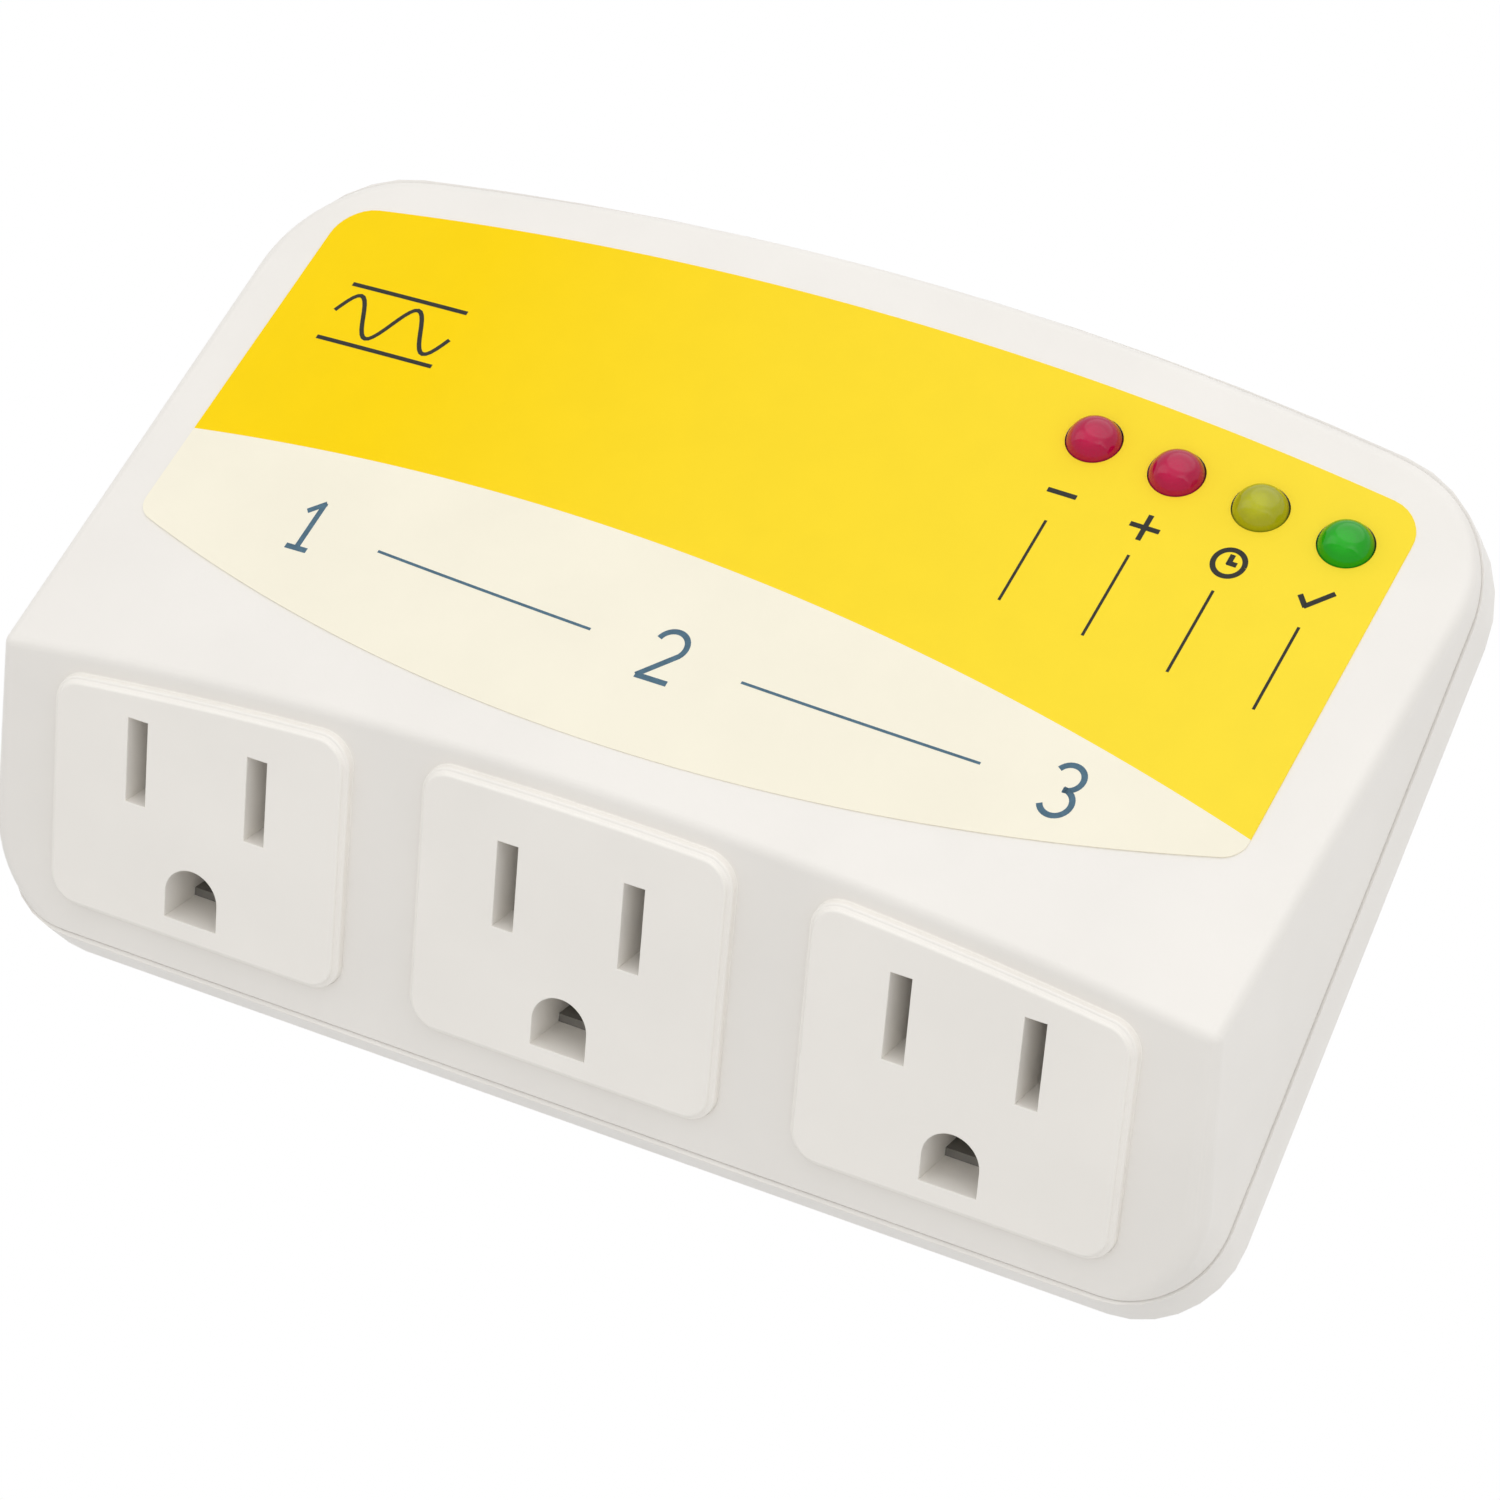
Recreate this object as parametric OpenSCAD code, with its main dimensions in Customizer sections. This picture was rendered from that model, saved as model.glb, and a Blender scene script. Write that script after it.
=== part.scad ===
// Plug-in voltage protector for one to three appliances: a wedge-shaped wall tap with three
// grounded outlets on its slanted lower face and four lamps on its arched, labelled front.
// In use the wall is the plane y = 0, the plug points along +Y, the front faces -Y and +Z is up.
// The origin lies midway between the two flat blades of the plug, on the back face.
//
// Most pieces are drawn in the case frame: x across, y up the wall from the front seam line, and z
// out of the wall from the seam plane. Outlet pieces are drawn in the outlet frame, on the slanted
// wall: x across, y up the wall from the slot line, z out of the wall.

/* [Housing] */
// Width of the front shell
shell_w = 123.6; // [118:0.1:132]
// Height of the front shell at its middle, along the wall
shell_h = 82.6; // [81:0.1:90]
// Wall of the front shell
wall = 2.2; // [1.8:0.1:2.6]
// Tilt of the outlet wall from the plane of the wall behind
face_tilt = 42.4; // [38:0.1:46]
// Length of the outlet wall from the seam to the ridge
face_rise = 31.8; // [31:0.05:34]
// Height of the far edge over the seam, at its middle
far_edge_out = 1.9; // [1.6:0.1:4.4]
// Radius of the arch of the labelled front
front_arch_r = 525; // [400:5:900]
// Radius of the arched far edge, seen from the front
far_arch_r = 350; // [250:5:600]
// Corner radius beside the outlets, at the seam
near_corner_r = 9; // [8.8:0.1:12]
// Corner radius beside the far edge
far_corner_r = 13; // [12:0.5:20]
// Rounding of the ridge
ridge_r = 3; // [3:0.5:5]
// Rounding of the outlet wall's other edges
near_edge_r = 2; // [1:0.25:2.5]
// Rounding of the far edge
far_edge_r = 3; // [2:0.25:4]
// Open line between the shell and the back cover
seam_gap = 0.25; // [0.1:0.05:0.4]

/* [Back cover] */
// Depth of the cover from the seam plane to the back face
cover_depth = 15.5; // [15:0.1:18]
// Height of the rim that shows under the seam
rim_h = 6; // [5:0.1:7]
// How far the rim stands proud of the shell
rim_proud = 0.35; // [0.2:0.05:0.6]
// Rounding of the rim's back edge
rim_edge_r = 1; // [0.6:0.1:2]
// Wall and floor of the cover
cover_wall = 2; // [1.6:0.1:2.4]
// Inset of the tub behind the rim
tub_inset = 5.5; // [5:0.1:6]
// Rounding of the tub's back edge
tub_edge_r = 1.5; // [1:0.1:1.9]
// Width of the lips that guide the shell's side walls
lip_w = 1.2; // [1:0.1:1.6]
// Height of the lips above the seam
lip_h = 2.5; // [1.5:0.1:4]

/* [Outlets] */
// Distance of the slot line up the outlet wall from the seam
slot_up = 20.45; // [19.5:0.05:21]
// Distance of the outer outlets' centres from the shell's sides
outlet_side = 23.15; // [21.8:0.05:23.8]
// Distance between the two slots of an outlet
slot_pitch = 12.7; // [12.5:0.1:12.9]
// Width of a slot
slot_w = 2.05; // [1.9:0.05:2.3]
// Height of a slot
slot_h = 8.4; // [7.2:0.1:8.6]
// Drop from the slot line to the centre of the ground hole
ground_drop = 11.9; // [11.7:0.1:12.1]
// Width of the ground hole
ground_w = 5.5; // [5.2:0.1:5.8]
// Depth of the ground hole's straight side below its centre
ground_flat = 2.6; // [2.3:0.1:2.8]
// Gap between two outlet plates
plate_gap = 7.45; // [6.7:0.05:8.6]
// Drop from the slot line to the lower edge of a plate
plate_drop = 16.9; // [16:0.1:17.2]
// Rise from the slot line to the plates' arched upper edge, at the middle
plate_rise = 9.6; // [9:0.1:9.7]
// Radius of that arch
plate_arch_r = 420; // [380:5:800]
// Corner radius of a plate
plate_corner_r = 3; // [2:0.5:4]
// How far a plate stands proud of the outlet wall
plate_proud = 1.2; // [0.8:0.1:1.6]
// Height and width of the step round a plate's face
plate_step = 0.45; // [0.3:0.05:0.6]
// Width of the flange behind the outlet wall
flange_w = 1.2; // [0.8:0.1:1.4]
// Width of that flange along the arched edge
flange_top_w = 0.35; // [0.2:0.05:0.4]
// Thickness of that flange
flange_t = 1.5; // [1.2:0.1:1.8]

/* [Label and lamps] */
// Distance of the label from the shell's sides
label_side = 6; // [5.8:0.1:8.8]
// Distance of the label from the far edge of the case, at the middle
label_rim = 4.9; // [4.1:0.1:6.1]
// Radius of the label's far edge
label_far_r = 440; // [300:5:600]
// Distance of the label's near edge from the seam line, at the middle
label_near = 27.5; // [27:0.1:30]
// Radius of the label's near edge
label_near_r = 176; // [165:1:240]
// Corner radius at the label's far edge
label_corner_r = 5; // [2:0.5:6]
// Corner radius at the label's near edge
label_near_corner_r = 2; // [1:0.5:3]
// Crest of the line between the cream and the yellow field
field_crest = 48.7; // [46:0.1:51]
// Place of that crest across the label
field_crest_x = -21; // [-30:1:-10]
// Radius of that line
field_r = 296; // [250:1:500]
// Thickness of the label film
film_t = 0.3; // [0.25:0.05:0.4]
// Depth of the recess that holds the film
film_recess = 0.2; // [0.1:0.05:0.2]
// Place of the first lamp across the front
lamp_x = 24.7; // [24:0.1:25.5]
// Distance between lamps
lamp_pitch = 8.36; // [8:0.01:8.5]
// Distance of the first lamp from the far edge of the case
lamp_back = 11.5; // [11.1:0.1:12.6]
// Drop from each lamp to the next
lamp_drop = 0.82; // [0.5:0.01:1.1]
// Diameter of a lamp's dome
lamp_d = 5.2; // [5:0.1:5.6]
// How far the dome stands out of the front
lamp_proud = 2; // [1.6:0.1:2.6]
// Height of a lamp from its flange to its top
lamp_h = 8.6; // [8:0.1:9]
// Clear ring round a lamp
lamp_gap = 0.15; // [0.1:0.05:0.3]
// Thickness of a lamp's flange
lamp_flange_t = 1; // [0.8:0.1:1.2]
// How far a lamp's flange stands out
lamp_flange_w = 0.5; // [0.3:0.1:0.6]

/* [Plug] */
// Distance of the blades' centre from the far edge of the case
plug_back = 30.6; // [29.6:0.5:31.6]
// Distance between the blades
blade_pitch = 12.7; // [12.5:0.1:12.9]
// Width of a blade
blade_w = 6.35; // [6:0.05:6.6]
// Thickness of a blade
blade_t = 1.52; // [1.4:0.02:1.65]
// Length of a blade outside the case
blade_l = 17.8; // [16:0.1:18.3]
// Chamfer of a blade's end
blade_chamfer = 1; // [0.6:0.1:1.4]
// Diameter of the hole near a blade's end
blade_hole_d = 3.2; // [2.8:0.1:3.6]
// Distance of that hole from the blade's end
blade_hole_back = 6.1; // [5.5:0.1:7]
// Diameter of the ground pin
pin_d = 4.78; // [4.6:0.02:4.9]
// Depth of the pin's neck, where the cover holds it
pin_neck = 0.3; // [0.2:0.05:0.5]
// Length of that neck outside the case
pin_neck_out = 0.3; // [0.2:0.05:0.5]
// Length of the ground pin outside the case
pin_l = 21; // [20:0.1:21.4]
// Thickness of the blades' and the pin's shoulders
shoulder_t = 1; // [0.8:0.1:1.2]
// Width of those shoulders beyond the metal
shoulder_w = 1.4; // [1:0.1:1.6]
// Width of a tail that reaches the circuit board
tail_w = 2.4; // [2:0.1:3]
// Thickness of a tail
tail_t = 0.8; // [0.6:0.1:1]
// Thickness of the plate that holds the plug
retainer_t = 1.6; // [1.2:0.1:1.8]

/* [Contacts] */
// Thickness of the brass strips
strip_t = 0.8; // [0.6:0.1:1]
// Width of the brass strips
strip_w = 7.5; // [6.5:0.1:8]
// Thickness of a contact leaf
leaf_t = 0.6; // [0.4:0.05:0.7]
// Height of a contact leaf across the blade
leaf_h = 8; // [7:0.1:8.2]
// Gap between the power leaves where they pinch a blade
leaf_pinch = 1.1; // [0.8:0.05:1.3]
// Gap between the power leaves at their mouth
leaf_mouth = 3.2; // [2.6:0.1:3.6]
// Gap between the ground leaves where they pinch the pin
ground_pinch = 4.2; // [3.8:0.1:4.5]
// Gap between the ground leaves at their mouth
ground_mouth = 6; // [5.6:0.1:6.4]
// Distance of the power strips from the slot line
strip_off = 5.2; // [5:0.1:5.4]
// Wall of the contact carrier
carrier_wall = 1.4; // [1.2:0.1:1.6]
// Distance of the contact carrier's ends from the shell's sides
carrier_side = 10.8; // [10.3:0.1:11.3]
// Depth of the carrier's floor below the outside of the outlet wall
carrier_floor = 18; // [17.8:0.1:18.4]

/* [Circuit board] */
// Thickness of the board
board_t = 1.6; // [1.5:0.1:1.6]
// Room between the cover's floor and the board
board_room = 4.4; // [4.1:0.1:4.5]
// Place of the board's near edge up the case
board_near = 35.7; // [35.2:0.1:35.9]
// Inset of the board inside the seam outline
board_inset = 8; // [7.8:0.1:8.4]
// Length of a soldered lead behind the board
lead_tail = 1.4; // [1:0.1:1.6]

/* [Relay] */
// Length of the relay
relay_l = 19.2; // [19:0.1:19.6]
// Width of the relay
relay_w = 15.6; // [15:0.1:15.8]
// Height of the relay
relay_h = 15.4; // [15.2:0.1:15.6]
// Wall of the relay's case
relay_wall = 0.8; // [0.6:0.05:0.9]
// Opening angle of the armature at rest
armature_open = 3.5; // [2.5:0.1:4]

/* [Screws] */
// Diameter of a case screw
case_screw_d = 2.9; // [2.6:0.1:3]
// Length of a case screw under its head
case_screw_l = 10.5; // [9.5:0.1:11]
// Diameter of a case screw's head
case_head_d = 5.6; // [5:0.1:5.8]
// Height of a case screw's head
case_head_h = 2; // [1.6:0.1:2.2]
// Diameter of a small screw
small_screw_d = 2.2; // [2:0.1:2.3]
// Diameter of a small screw's head
small_head_d = 4; // [3.6:0.1:4.2]
// Height of a small screw's head
small_head_h = 1.3; // [1:0.1:1.4]

/* [Wires] */
// Diameter of an insulated power wire
wire_d = 2.8; // [2.4:0.1:3]

/* [Hidden] */

// Clearance between pieces that are pushed together
fit = 0.05;
// Clearance round pieces that drop in
slack = 0.15;
// Overrun of every cut
over = 1;
// Thickness of the slab that carries an outline into a hull
skin = 0.05;

shell_white = [0.95, 0.94, 0.92];
plate_white = [0.88, 0.87, 0.84];
brass = [0.80, 0.62, 0.30];
steel = [0.72, 0.73, 0.75];
tin = [0.80, 0.80, 0.80];

// Geometry of the case

face_c = cos(face_tilt);
face_s = sin(face_tilt);
ridge_up = face_rise * face_c;
ridge_out = face_rise * face_s;
front_slope = atan((ridge_out - far_edge_out) / (shell_h - ridge_up));
outlet_pitch = shell_w / 2 - outlet_side;
plate_w = outlet_pitch - plate_gap;
label_half_w = shell_w / 2 - label_side;
label_far = shell_h - label_rim;
lamp_up = shell_h - lamp_back;
plug_up = shell_h - plug_back;
carrier_half_w = shell_w / 2 - carrier_side;
board_drop = cover_depth - cover_wall - board_room - board_t;
far_centre = shell_h - far_arch_r;
far_corner_x = shell_w / 2 - far_corner_r;
far_corner_up = far_centre + sqrt(pow(far_arch_r - far_corner_r, 2) - pow(far_corner_x, 2));
far_corner_turn = atan2(far_corner_up - far_centre, far_corner_x);

// Place across the case and back from its far edge, as a point of the case frame
function laid(p) = [p[0], shell_h - p[1]];

function unit(v) = v / norm(v);
function arc(c, r, from, to, n) =
    [for (i = [0:n]) let (a = from + (to - from) * i / n) c + r * [cos(a), sin(a)]];

// Corner b between a and c, rounded to radius r
function fillet(a, b, c, r, n = 6) =
    r == 0 ? [b] :
    let (u = unit(a - b), v = unit(c - b), half = acos(u * v) / 2,
         m = b + unit(u + v) * r / sin(half), p = b + u * r / tan(half) - m, q = b + v * r / tan(half) - m,
         from = atan2(p[1], p[0]), gap = atan2(q[1], q[0]) - from,
         turn = gap > 180 ? gap - 360 : gap < -180 ? gap + 360 : gap)
    arc(m, r, from, from + turn, n);

// Closed outline through pts, with a radius for each corner
function rounded(pts, radii) =
    [for (i = [0:len(pts) - 1])
        each fillet(pts[(i + len(pts) - 1) % len(pts)], pts[i], pts[(i + 1) % len(pts)], radii[i])];

// Far half of the seam outline, drawn d inside it, from right to left
function far_outline(d) =
    concat(arc([far_corner_x, far_corner_up], far_corner_r - d, 0, far_corner_turn, 7),
           arc([0, far_centre], far_arch_r - d, far_corner_turn, 180 - far_corner_turn, 12),
           arc([-far_corner_x, far_corner_up], far_corner_r - d, 180 - far_corner_turn, 180, 7));

// Near half of the seam outline, from left to right
function near_outline(d) =
    let (x = shell_w / 2 - near_corner_r)
    concat(arc([-x, near_corner_r], near_corner_r - d, 180, 270, 7),
           arc([x, near_corner_r], near_corner_r - d, 270, 360, 7));

// Whole seam outline
function outline(d) = concat(near_outline(d), far_outline(d));

// Height of the labelled front over the seam plane at x and y, drawn d inside it
function front_at(x, y, d = 0) =
    ridge_out - (y - ridge_up) * tan(front_slope)
    + (sqrt(pow(front_arch_r - d, 2) - x * x) - front_arch_r) / cos(front_slope);

// Centre of a ball at x that lies q inside both the outlet wall and the labelled front
function ridge_ball(x, q) =
    let (y = (q + face_c * front_at(x, 0, q)) / (face_s + tan(front_slope) * face_c))
    [x, y, front_at(x, y, q)];

// Closed rounded form of the shell, d inside its outside, with the radii of its ridge and edges
module case_form(d, r_ridge, r_far, r_near) {
    q = d + r_ridge;
    ends = shell_w / 2 - q;
    // Height at which a ball inside the near wall and the outlet wall has its centre
    function outlet_wall_at(y) = (y * face_s - d - r_near) / face_c;
    hull() {
        for (i = [-4:4]) translate(ridge_ball(i / 4 * ends, q)) sphere(r = r_ridge, $fn = 32);
        for (p = far_outline(d + r_far))
            translate([p[0], p[1], front_at(p[0], p[1], d + r_far)]) sphere(r = r_far, $fn = 24);
        for (p = near_outline(d + r_near))
            translate([p[0], p[1], outlet_wall_at(p[1])]) sphere(r = r_near, $fn = 24);
        slab(outlet_wall_at(d + r_near) - skin, outlet_wall_at(d + r_near), outline(d));
    }
}

// Puts pieces drawn in the case frame into the part's frame
module in_use() { translate([0, -cover_depth, -plug_up]) rotate([90, 0, 0]) children(); }
// Puts pieces drawn in the outlet frame into the part's frame
module at_outlets() {
    in_use() translate([0, slot_up * face_c, slot_up * face_s]) rotate([face_tilt, 0, 0]) children();
}
// Puts pieces into the part's frame on the front side of the board, at a place on it
module on_board(place) { in_use() translate(concat(laid(place), -board_drop)) children(); }

// Slab with its lower face at z = from and its upper face at z = to
module slab(from, to, pts) { translate([0, 0, from]) linear_extrude(to - from) polygon(pts); }
// Round bar on z from one height to another
module bar(d, from, to, sides = 32) { translate([0, 0, from]) cylinder(d = d, h = to - from, $fn = sides); }
// Block centred on x and y, from one height to another
module block(x, y, from, to) { translate([-x / 2, -y / 2, from]) cube([x, y, to - from]); }
// Rectangle of a given size with rounded corners
function rounded_rect(x, y, r) =
    rounded([[-x / 2, -y / 2], [x / 2, -y / 2], [x / 2, y / 2], [-x / 2, y / 2]], [r, r, r, r]);

// Sheet that follows the arched front, between two heights over it
module front_sheet(low, high) {
    run = 2 * shell_h;
    translate([0, ridge_up, ridge_out]) rotate([-front_slope, 0, 0])
        translate([0, -run / 2, -front_arch_r]) rotate([-90, 0, 0]) difference() {
            cylinder(r = front_arch_r + high, h = 2 * run, $fn = 720);
            translate([0, 0, -over]) cylinder(r = front_arch_r + low, h = 2 * run + 2 * over, $fn = 720);
        }
}

// Screws that close the case

// Distance of the case screws from the shell's side wall
case_screw_edge = 10.5;
// Places of the near and the far pair back from the far edge
case_screw_backs = [44.1, 22.6];
case_screw_x = shell_w / 2 - case_screw_edge;
case_screw_places = [for (x = [-case_screw_x, case_screw_x], y = case_screw_backs) laid([x, y])];
// Depth of a case screw's head above the back face
case_head_depth = 9;
// Radius of the shell's screw bosses
shell_boss_r = 3.2;
// Radius of the cover's screw bosses
cover_boss_r = 3.8;
case_head_seat = case_head_depth - cover_depth;

// Screws that hold the contact carrier

carrier_screw_places = [[-outlet_pitch / 2, 0], [outlet_pitch / 2, 0]];
// Radius of the shell's bosses for the carrier
carrier_boss_r = 2.2;
// Lower end of those bosses, from the outside of the outlet wall
carrier_boss_z = -6;
// Seat of the carrier screws' heads
carrier_head_z = -12;
// Length of a carrier screw under its head
carrier_screw_l = 8.8;

// Outlet plates

flange_z = -wall - fit - flange_t;
outlet_x = [-outlet_pitch, 0, outlet_pitch];

function plate_top(x, g) = sqrt(pow(plate_arch_r + g, 2) - x * x) - plate_arch_r + plate_rise;
// Outline of a plate centred at x, grown by g, and by up along its arched edge
function plate_outline(x, g, up) =
    let (h = plate_w / 2 + g, low = -plate_drop - g, r = plate_corner_r + g)
    rounded([[x - h, low], [x + h, low], [x + h, plate_top(x + h, up)], [x, plate_top(x, up)],
             [x - h, plate_top(x - h, up)]], [r, r, r, 0, r]);

module receptacle_face(x) {
    color(plate_white) at_outlets() difference() {
        union() {
            slab(plate_proud - plate_step, plate_proud, plate_outline(x, -plate_step, -plate_step));
            slab(flange_z, plate_proud - plate_step, plate_outline(x, 0, 0));
            slab(flange_z, -wall - fit, plate_outline(x, flange_w, flange_top_w));
        }
        for (side = [-1, 1]) translate([x + side * slot_pitch / 2, 0, 0])
            block(slot_w, slot_h, flange_z - over, plate_proud + over);
        translate([x, -ground_drop, 0]) {
            bar(ground_w, flange_z - over, plate_proud + over);
            translate([0, -ground_flat / 2, 0])
                block(ground_w, ground_flat, flange_z - over, plate_proud + over);
        }
    }
}
module receptacle_face_left() { receptacle_face(outlet_x[0]); }
module receptacle_face_middle() { receptacle_face(outlet_x[1]); }
module receptacle_face_right() { receptacle_face(outlet_x[2]); }

// Label and lamps

function lamp_place(i) = [lamp_x + i * lamp_pitch, lamp_up - i * lamp_drop];
function lamp_top(i) = front_at(lamp_place(i)[0], lamp_place(i)[1]) + lamp_proud;
lamp_count = 4;

// Points of an arched edge, rising by its radius from its crest at [cx, y]
function arched_edge(cx, y, r, from, to, n) =
    [for (i = [0:n]) let (x = from + (to - from) * i / n)
        [x, y + sign(r) * (sqrt(r * r - pow(x - cx, 2)) - abs(r))]];

// Outline of the label, grown by g, with its four corners rounded
function label_outline(g) =
    let (h = label_half_w + g, n = 12,
         near = arched_edge(0, label_near - g, -label_near_r - g, -h, h, n),
         far = arched_edge(0, label_far + g, label_far_r + g, h, -h, n))
    rounded(concat(near, far),
            [for (i = [0:2 * n + 1])
                i == 0 || i == n ? label_near_corner_r :
                i == n + 1 || i == 2 * n + 1 ? label_corner_r : 0]);

// Everything on the outlets' side of the line between the two printed fields
function cream_side() =
    let (h = shell_w / 2, n = 16)
    concat([[-h, 0], [h, 0]], arched_edge(field_crest_x, field_crest, field_r, h, -h, n));

module label() {
    in_use() {
        for (yellow = [false, true]) color(yellow ? [1, 0.86, 0.10] : [0.99, 0.96, 0.89]) difference() {
            intersection() {
                front_sheet(-film_recess, film_t - film_recess);
                slab(-shell_h, shell_h, label_outline(0));
                if (!yellow) slab(-shell_h, shell_h, cream_side());
            }
            if (yellow) slab(-shell_h - over, shell_h + over, cream_side());
            for (i = [0:lamp_count - 1]) translate(lamp_place(i))
                bar(lamp_d + 2 * lamp_gap, -shell_h, shell_h, 48);
        }
    }
}

// Rounding of the shell's edges on the inside
inner_edge_r = 0.6;

module front_shell() {
    // Highest level of a screw boss inside the front
    function boss_top(p) = front_at(p[0], p[1]) - wall / 2;
    color(shell_white) {
        in_use() difference() {
            case_form(0, ridge_r, far_edge_r, near_edge_r);
            case_form(wall, ridge_r - wall, inner_edge_r, inner_edge_r);
            translate([0, shell_h / 2, 0]) block(2 * shell_w, 2 * shell_h, -shell_h, seam_gap);
            translate([0, slot_up * face_c, slot_up * face_s]) rotate([face_tilt, 0, 0]) for (x = outlet_x)
                slab(-wall - flange_t, over, plate_outline(x, fit, fit));
            intersection() {
                front_sheet(-film_recess, over);
                slab(0, shell_h, label_outline(fit));
            }
            for (i = [0:lamp_count - 1]) translate(lamp_place(i))
                bar(lamp_d + 2 * lamp_gap, -over, shell_h, 48);
        }
        in_use() for (p = case_screw_places) translate(p) difference() {
            bar(2 * shell_boss_r, seam_gap, boss_top(p));
            bar(case_screw_d + 2 * fit, 0, case_head_seat + case_screw_l + slack);
        }
        at_outlets() for (p = carrier_screw_places) translate(p) difference() {
            bar(2 * carrier_boss_r, carrier_boss_z, -wall / 2);
            bar(small_screw_d + 2 * fit, carrier_boss_z - over, -wall);
        }
    }
}

// Lamps: a dome on a short body with a flange at its foot
module led(i, tint) {
    color(tint) in_use() translate(lamp_place(i)) {
        foot = lamp_top(i) - lamp_h;
        bar(lamp_d + 2 * lamp_flange_w, foot, foot + lamp_flange_t, 48);
        bar(lamp_d, foot, lamp_top(i) - lamp_d / 2, 48);
        translate([0, 0, lamp_top(i) - lamp_d / 2]) sphere(d = lamp_d, $fn = 48);
    }
}
module led_under_voltage() { led(0, [0.72, 0.02, 0.25]); }
module led_over_voltage() { led(1, [0.72, 0.02, 0.25]); }
module led_delay() { led(2, [0.66, 0.65, 0.12]); }
module led_normal() { led(3, [0.11, 0.60, 0.10]); }

// Distance between a lamp's two leads
lamp_lead_pitch = 2.54;
// Diameter of a lamp's lead
lamp_lead_d = 0.55;

module led_leads() {
    color(tin) in_use() for (i = [0:lamp_count - 1], side = [-1, 1])
        translate(lamp_place(i) + [side * lamp_lead_pitch / 2, 0])
            bar(lamp_lead_d, -board_drop - board_t - lead_tail, lamp_top(i) - lamp_h, 16);
}

// Wall of a lamp's spacer
spacer_wall = 0.9;

module led_spacers() {
    color([0.15, 0.15, 0.16]) in_use() for (i = [0:lamp_count - 1]) translate(lamp_place(i)) difference() {
        bar(lamp_d, -board_drop, lamp_top(i) - lamp_h, 48);
        bar(lamp_d - 2 * spacer_wall, -board_drop - over, lamp_top(i) - lamp_h + over, 48);
    }
}

// Back cover

cover_floor = cover_wall - cover_depth;
// Distance of the lips along the side walls from the near and from the far edge
lip_ends = [14, 25.6];
// Wall of the rim, and thickness of the web between the rim and the tub
rim_web = 2;
// Posts for the board: places, radius, and reach of their screws into them
post_spots = [[-46.5, 33.6], [46.5, 33.6], [-30, 13.6], [12, 11.1]];
post_places = [for (p = post_spots) laid(p)];
post_r = 2.6;
post_screw_l = 4.6;
// Screws of the blade retainer: places from the plug's centre, and height of their seats
retainer_screw_places = [[-9.6, -10.5], [9.6, -10.5], [0, 1.5]];
retainer_screw_l = 3.8;
retainer_seat = cover_floor + shoulder_t;
seat_r = 2.3;

// Stack of outlines that rounds the back edge of a slab, from its back face at z = low
module rounded_back(low, high, d, r) {
    n = 5;
    hull() for (i = [0:n]) let (a = 90 * i / n)
        slab(low + r * (1 - sin(a)), high, outline(d + r * (1 - cos(a))));
}

module tails(grow) {
    for (side = [-1, 1]) translate([side * blade_pitch / 2, 0, 0])
        block(tail_t + 2 * grow, tail_w + 2 * grow, retainer_seat - fit, -board_drop + over);
    translate([0, -ground_drop, 0]) bar(tail_w + 2 * grow, retainer_seat - fit, -board_drop + over);
}

module back_cover() {
    color(shell_white) in_use() {
        difference() {
            union() {
                difference() {
                    rounded_back(-rim_h, 0, -rim_proud, rim_edge_r);
                    slab(rim_web - rim_h, over, outline(cover_wall - rim_proud));
                }
                rounded_back(-cover_depth, rim_web - rim_h, tub_inset, tub_edge_r);
            }
            slab(cover_floor, over, outline(tub_inset + cover_wall));
            translate([0, plug_up, 0]) {
                for (side = [-1, 1]) translate([side * blade_pitch / 2, 0, 0])
                    block(blade_t + 2 * fit, blade_w + 2 * fit, -cover_depth - over, cover_floor + over);
                translate([0, -ground_drop, 0])
                    bar(pin_d - 2 * pin_neck + 2 * fit, -cover_depth - over, cover_floor + over);
            }
            for (p = case_screw_places) translate(p)
                bar(case_head_d + 4 * slack, -cover_depth - over, case_head_seat);
            for (p = retainer_screw_places) translate([p[0], plug_up + p[1], 0])
                bar(small_screw_d + 2 * fit, cover_floor - cover_wall + 2 * slack, cover_floor + over);
        }
        for (p = case_screw_places) translate(p) difference() {
            bar(2 * cover_boss_r, -cover_depth + tub_edge_r, 0);
            bar(case_head_d + 4 * slack, -cover_depth, case_head_seat);
            bar(case_screw_d + 4 * fit, case_head_seat - over, over);
        }
        for (p = post_places) translate(p) difference() {
            bar(2 * post_r, cover_floor - fit, -board_drop - board_t);
            bar(small_screw_d + 2 * fit, -board_drop - post_screw_l - slack, over);
        }
        for (p = retainer_screw_places) translate([p[0], plug_up + p[1], 0]) difference() {
            bar(2 * seat_r, cover_floor - fit, retainer_seat);
            bar(small_screw_d + 2 * fit, cover_floor - over, over);
        }
        for (side = [-1, 1]) translate([side * (shell_w / 2 - wall - slack - lip_w / 2), 0, 0])
            translate([-lip_w / 2, lip_ends[0], rim_web - rim_h - fit])
                cube([lip_w, shell_h - lip_ends[1] - lip_ends[0], lip_h + rim_h - rim_web + fit]);
    }
}

// Plug

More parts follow.
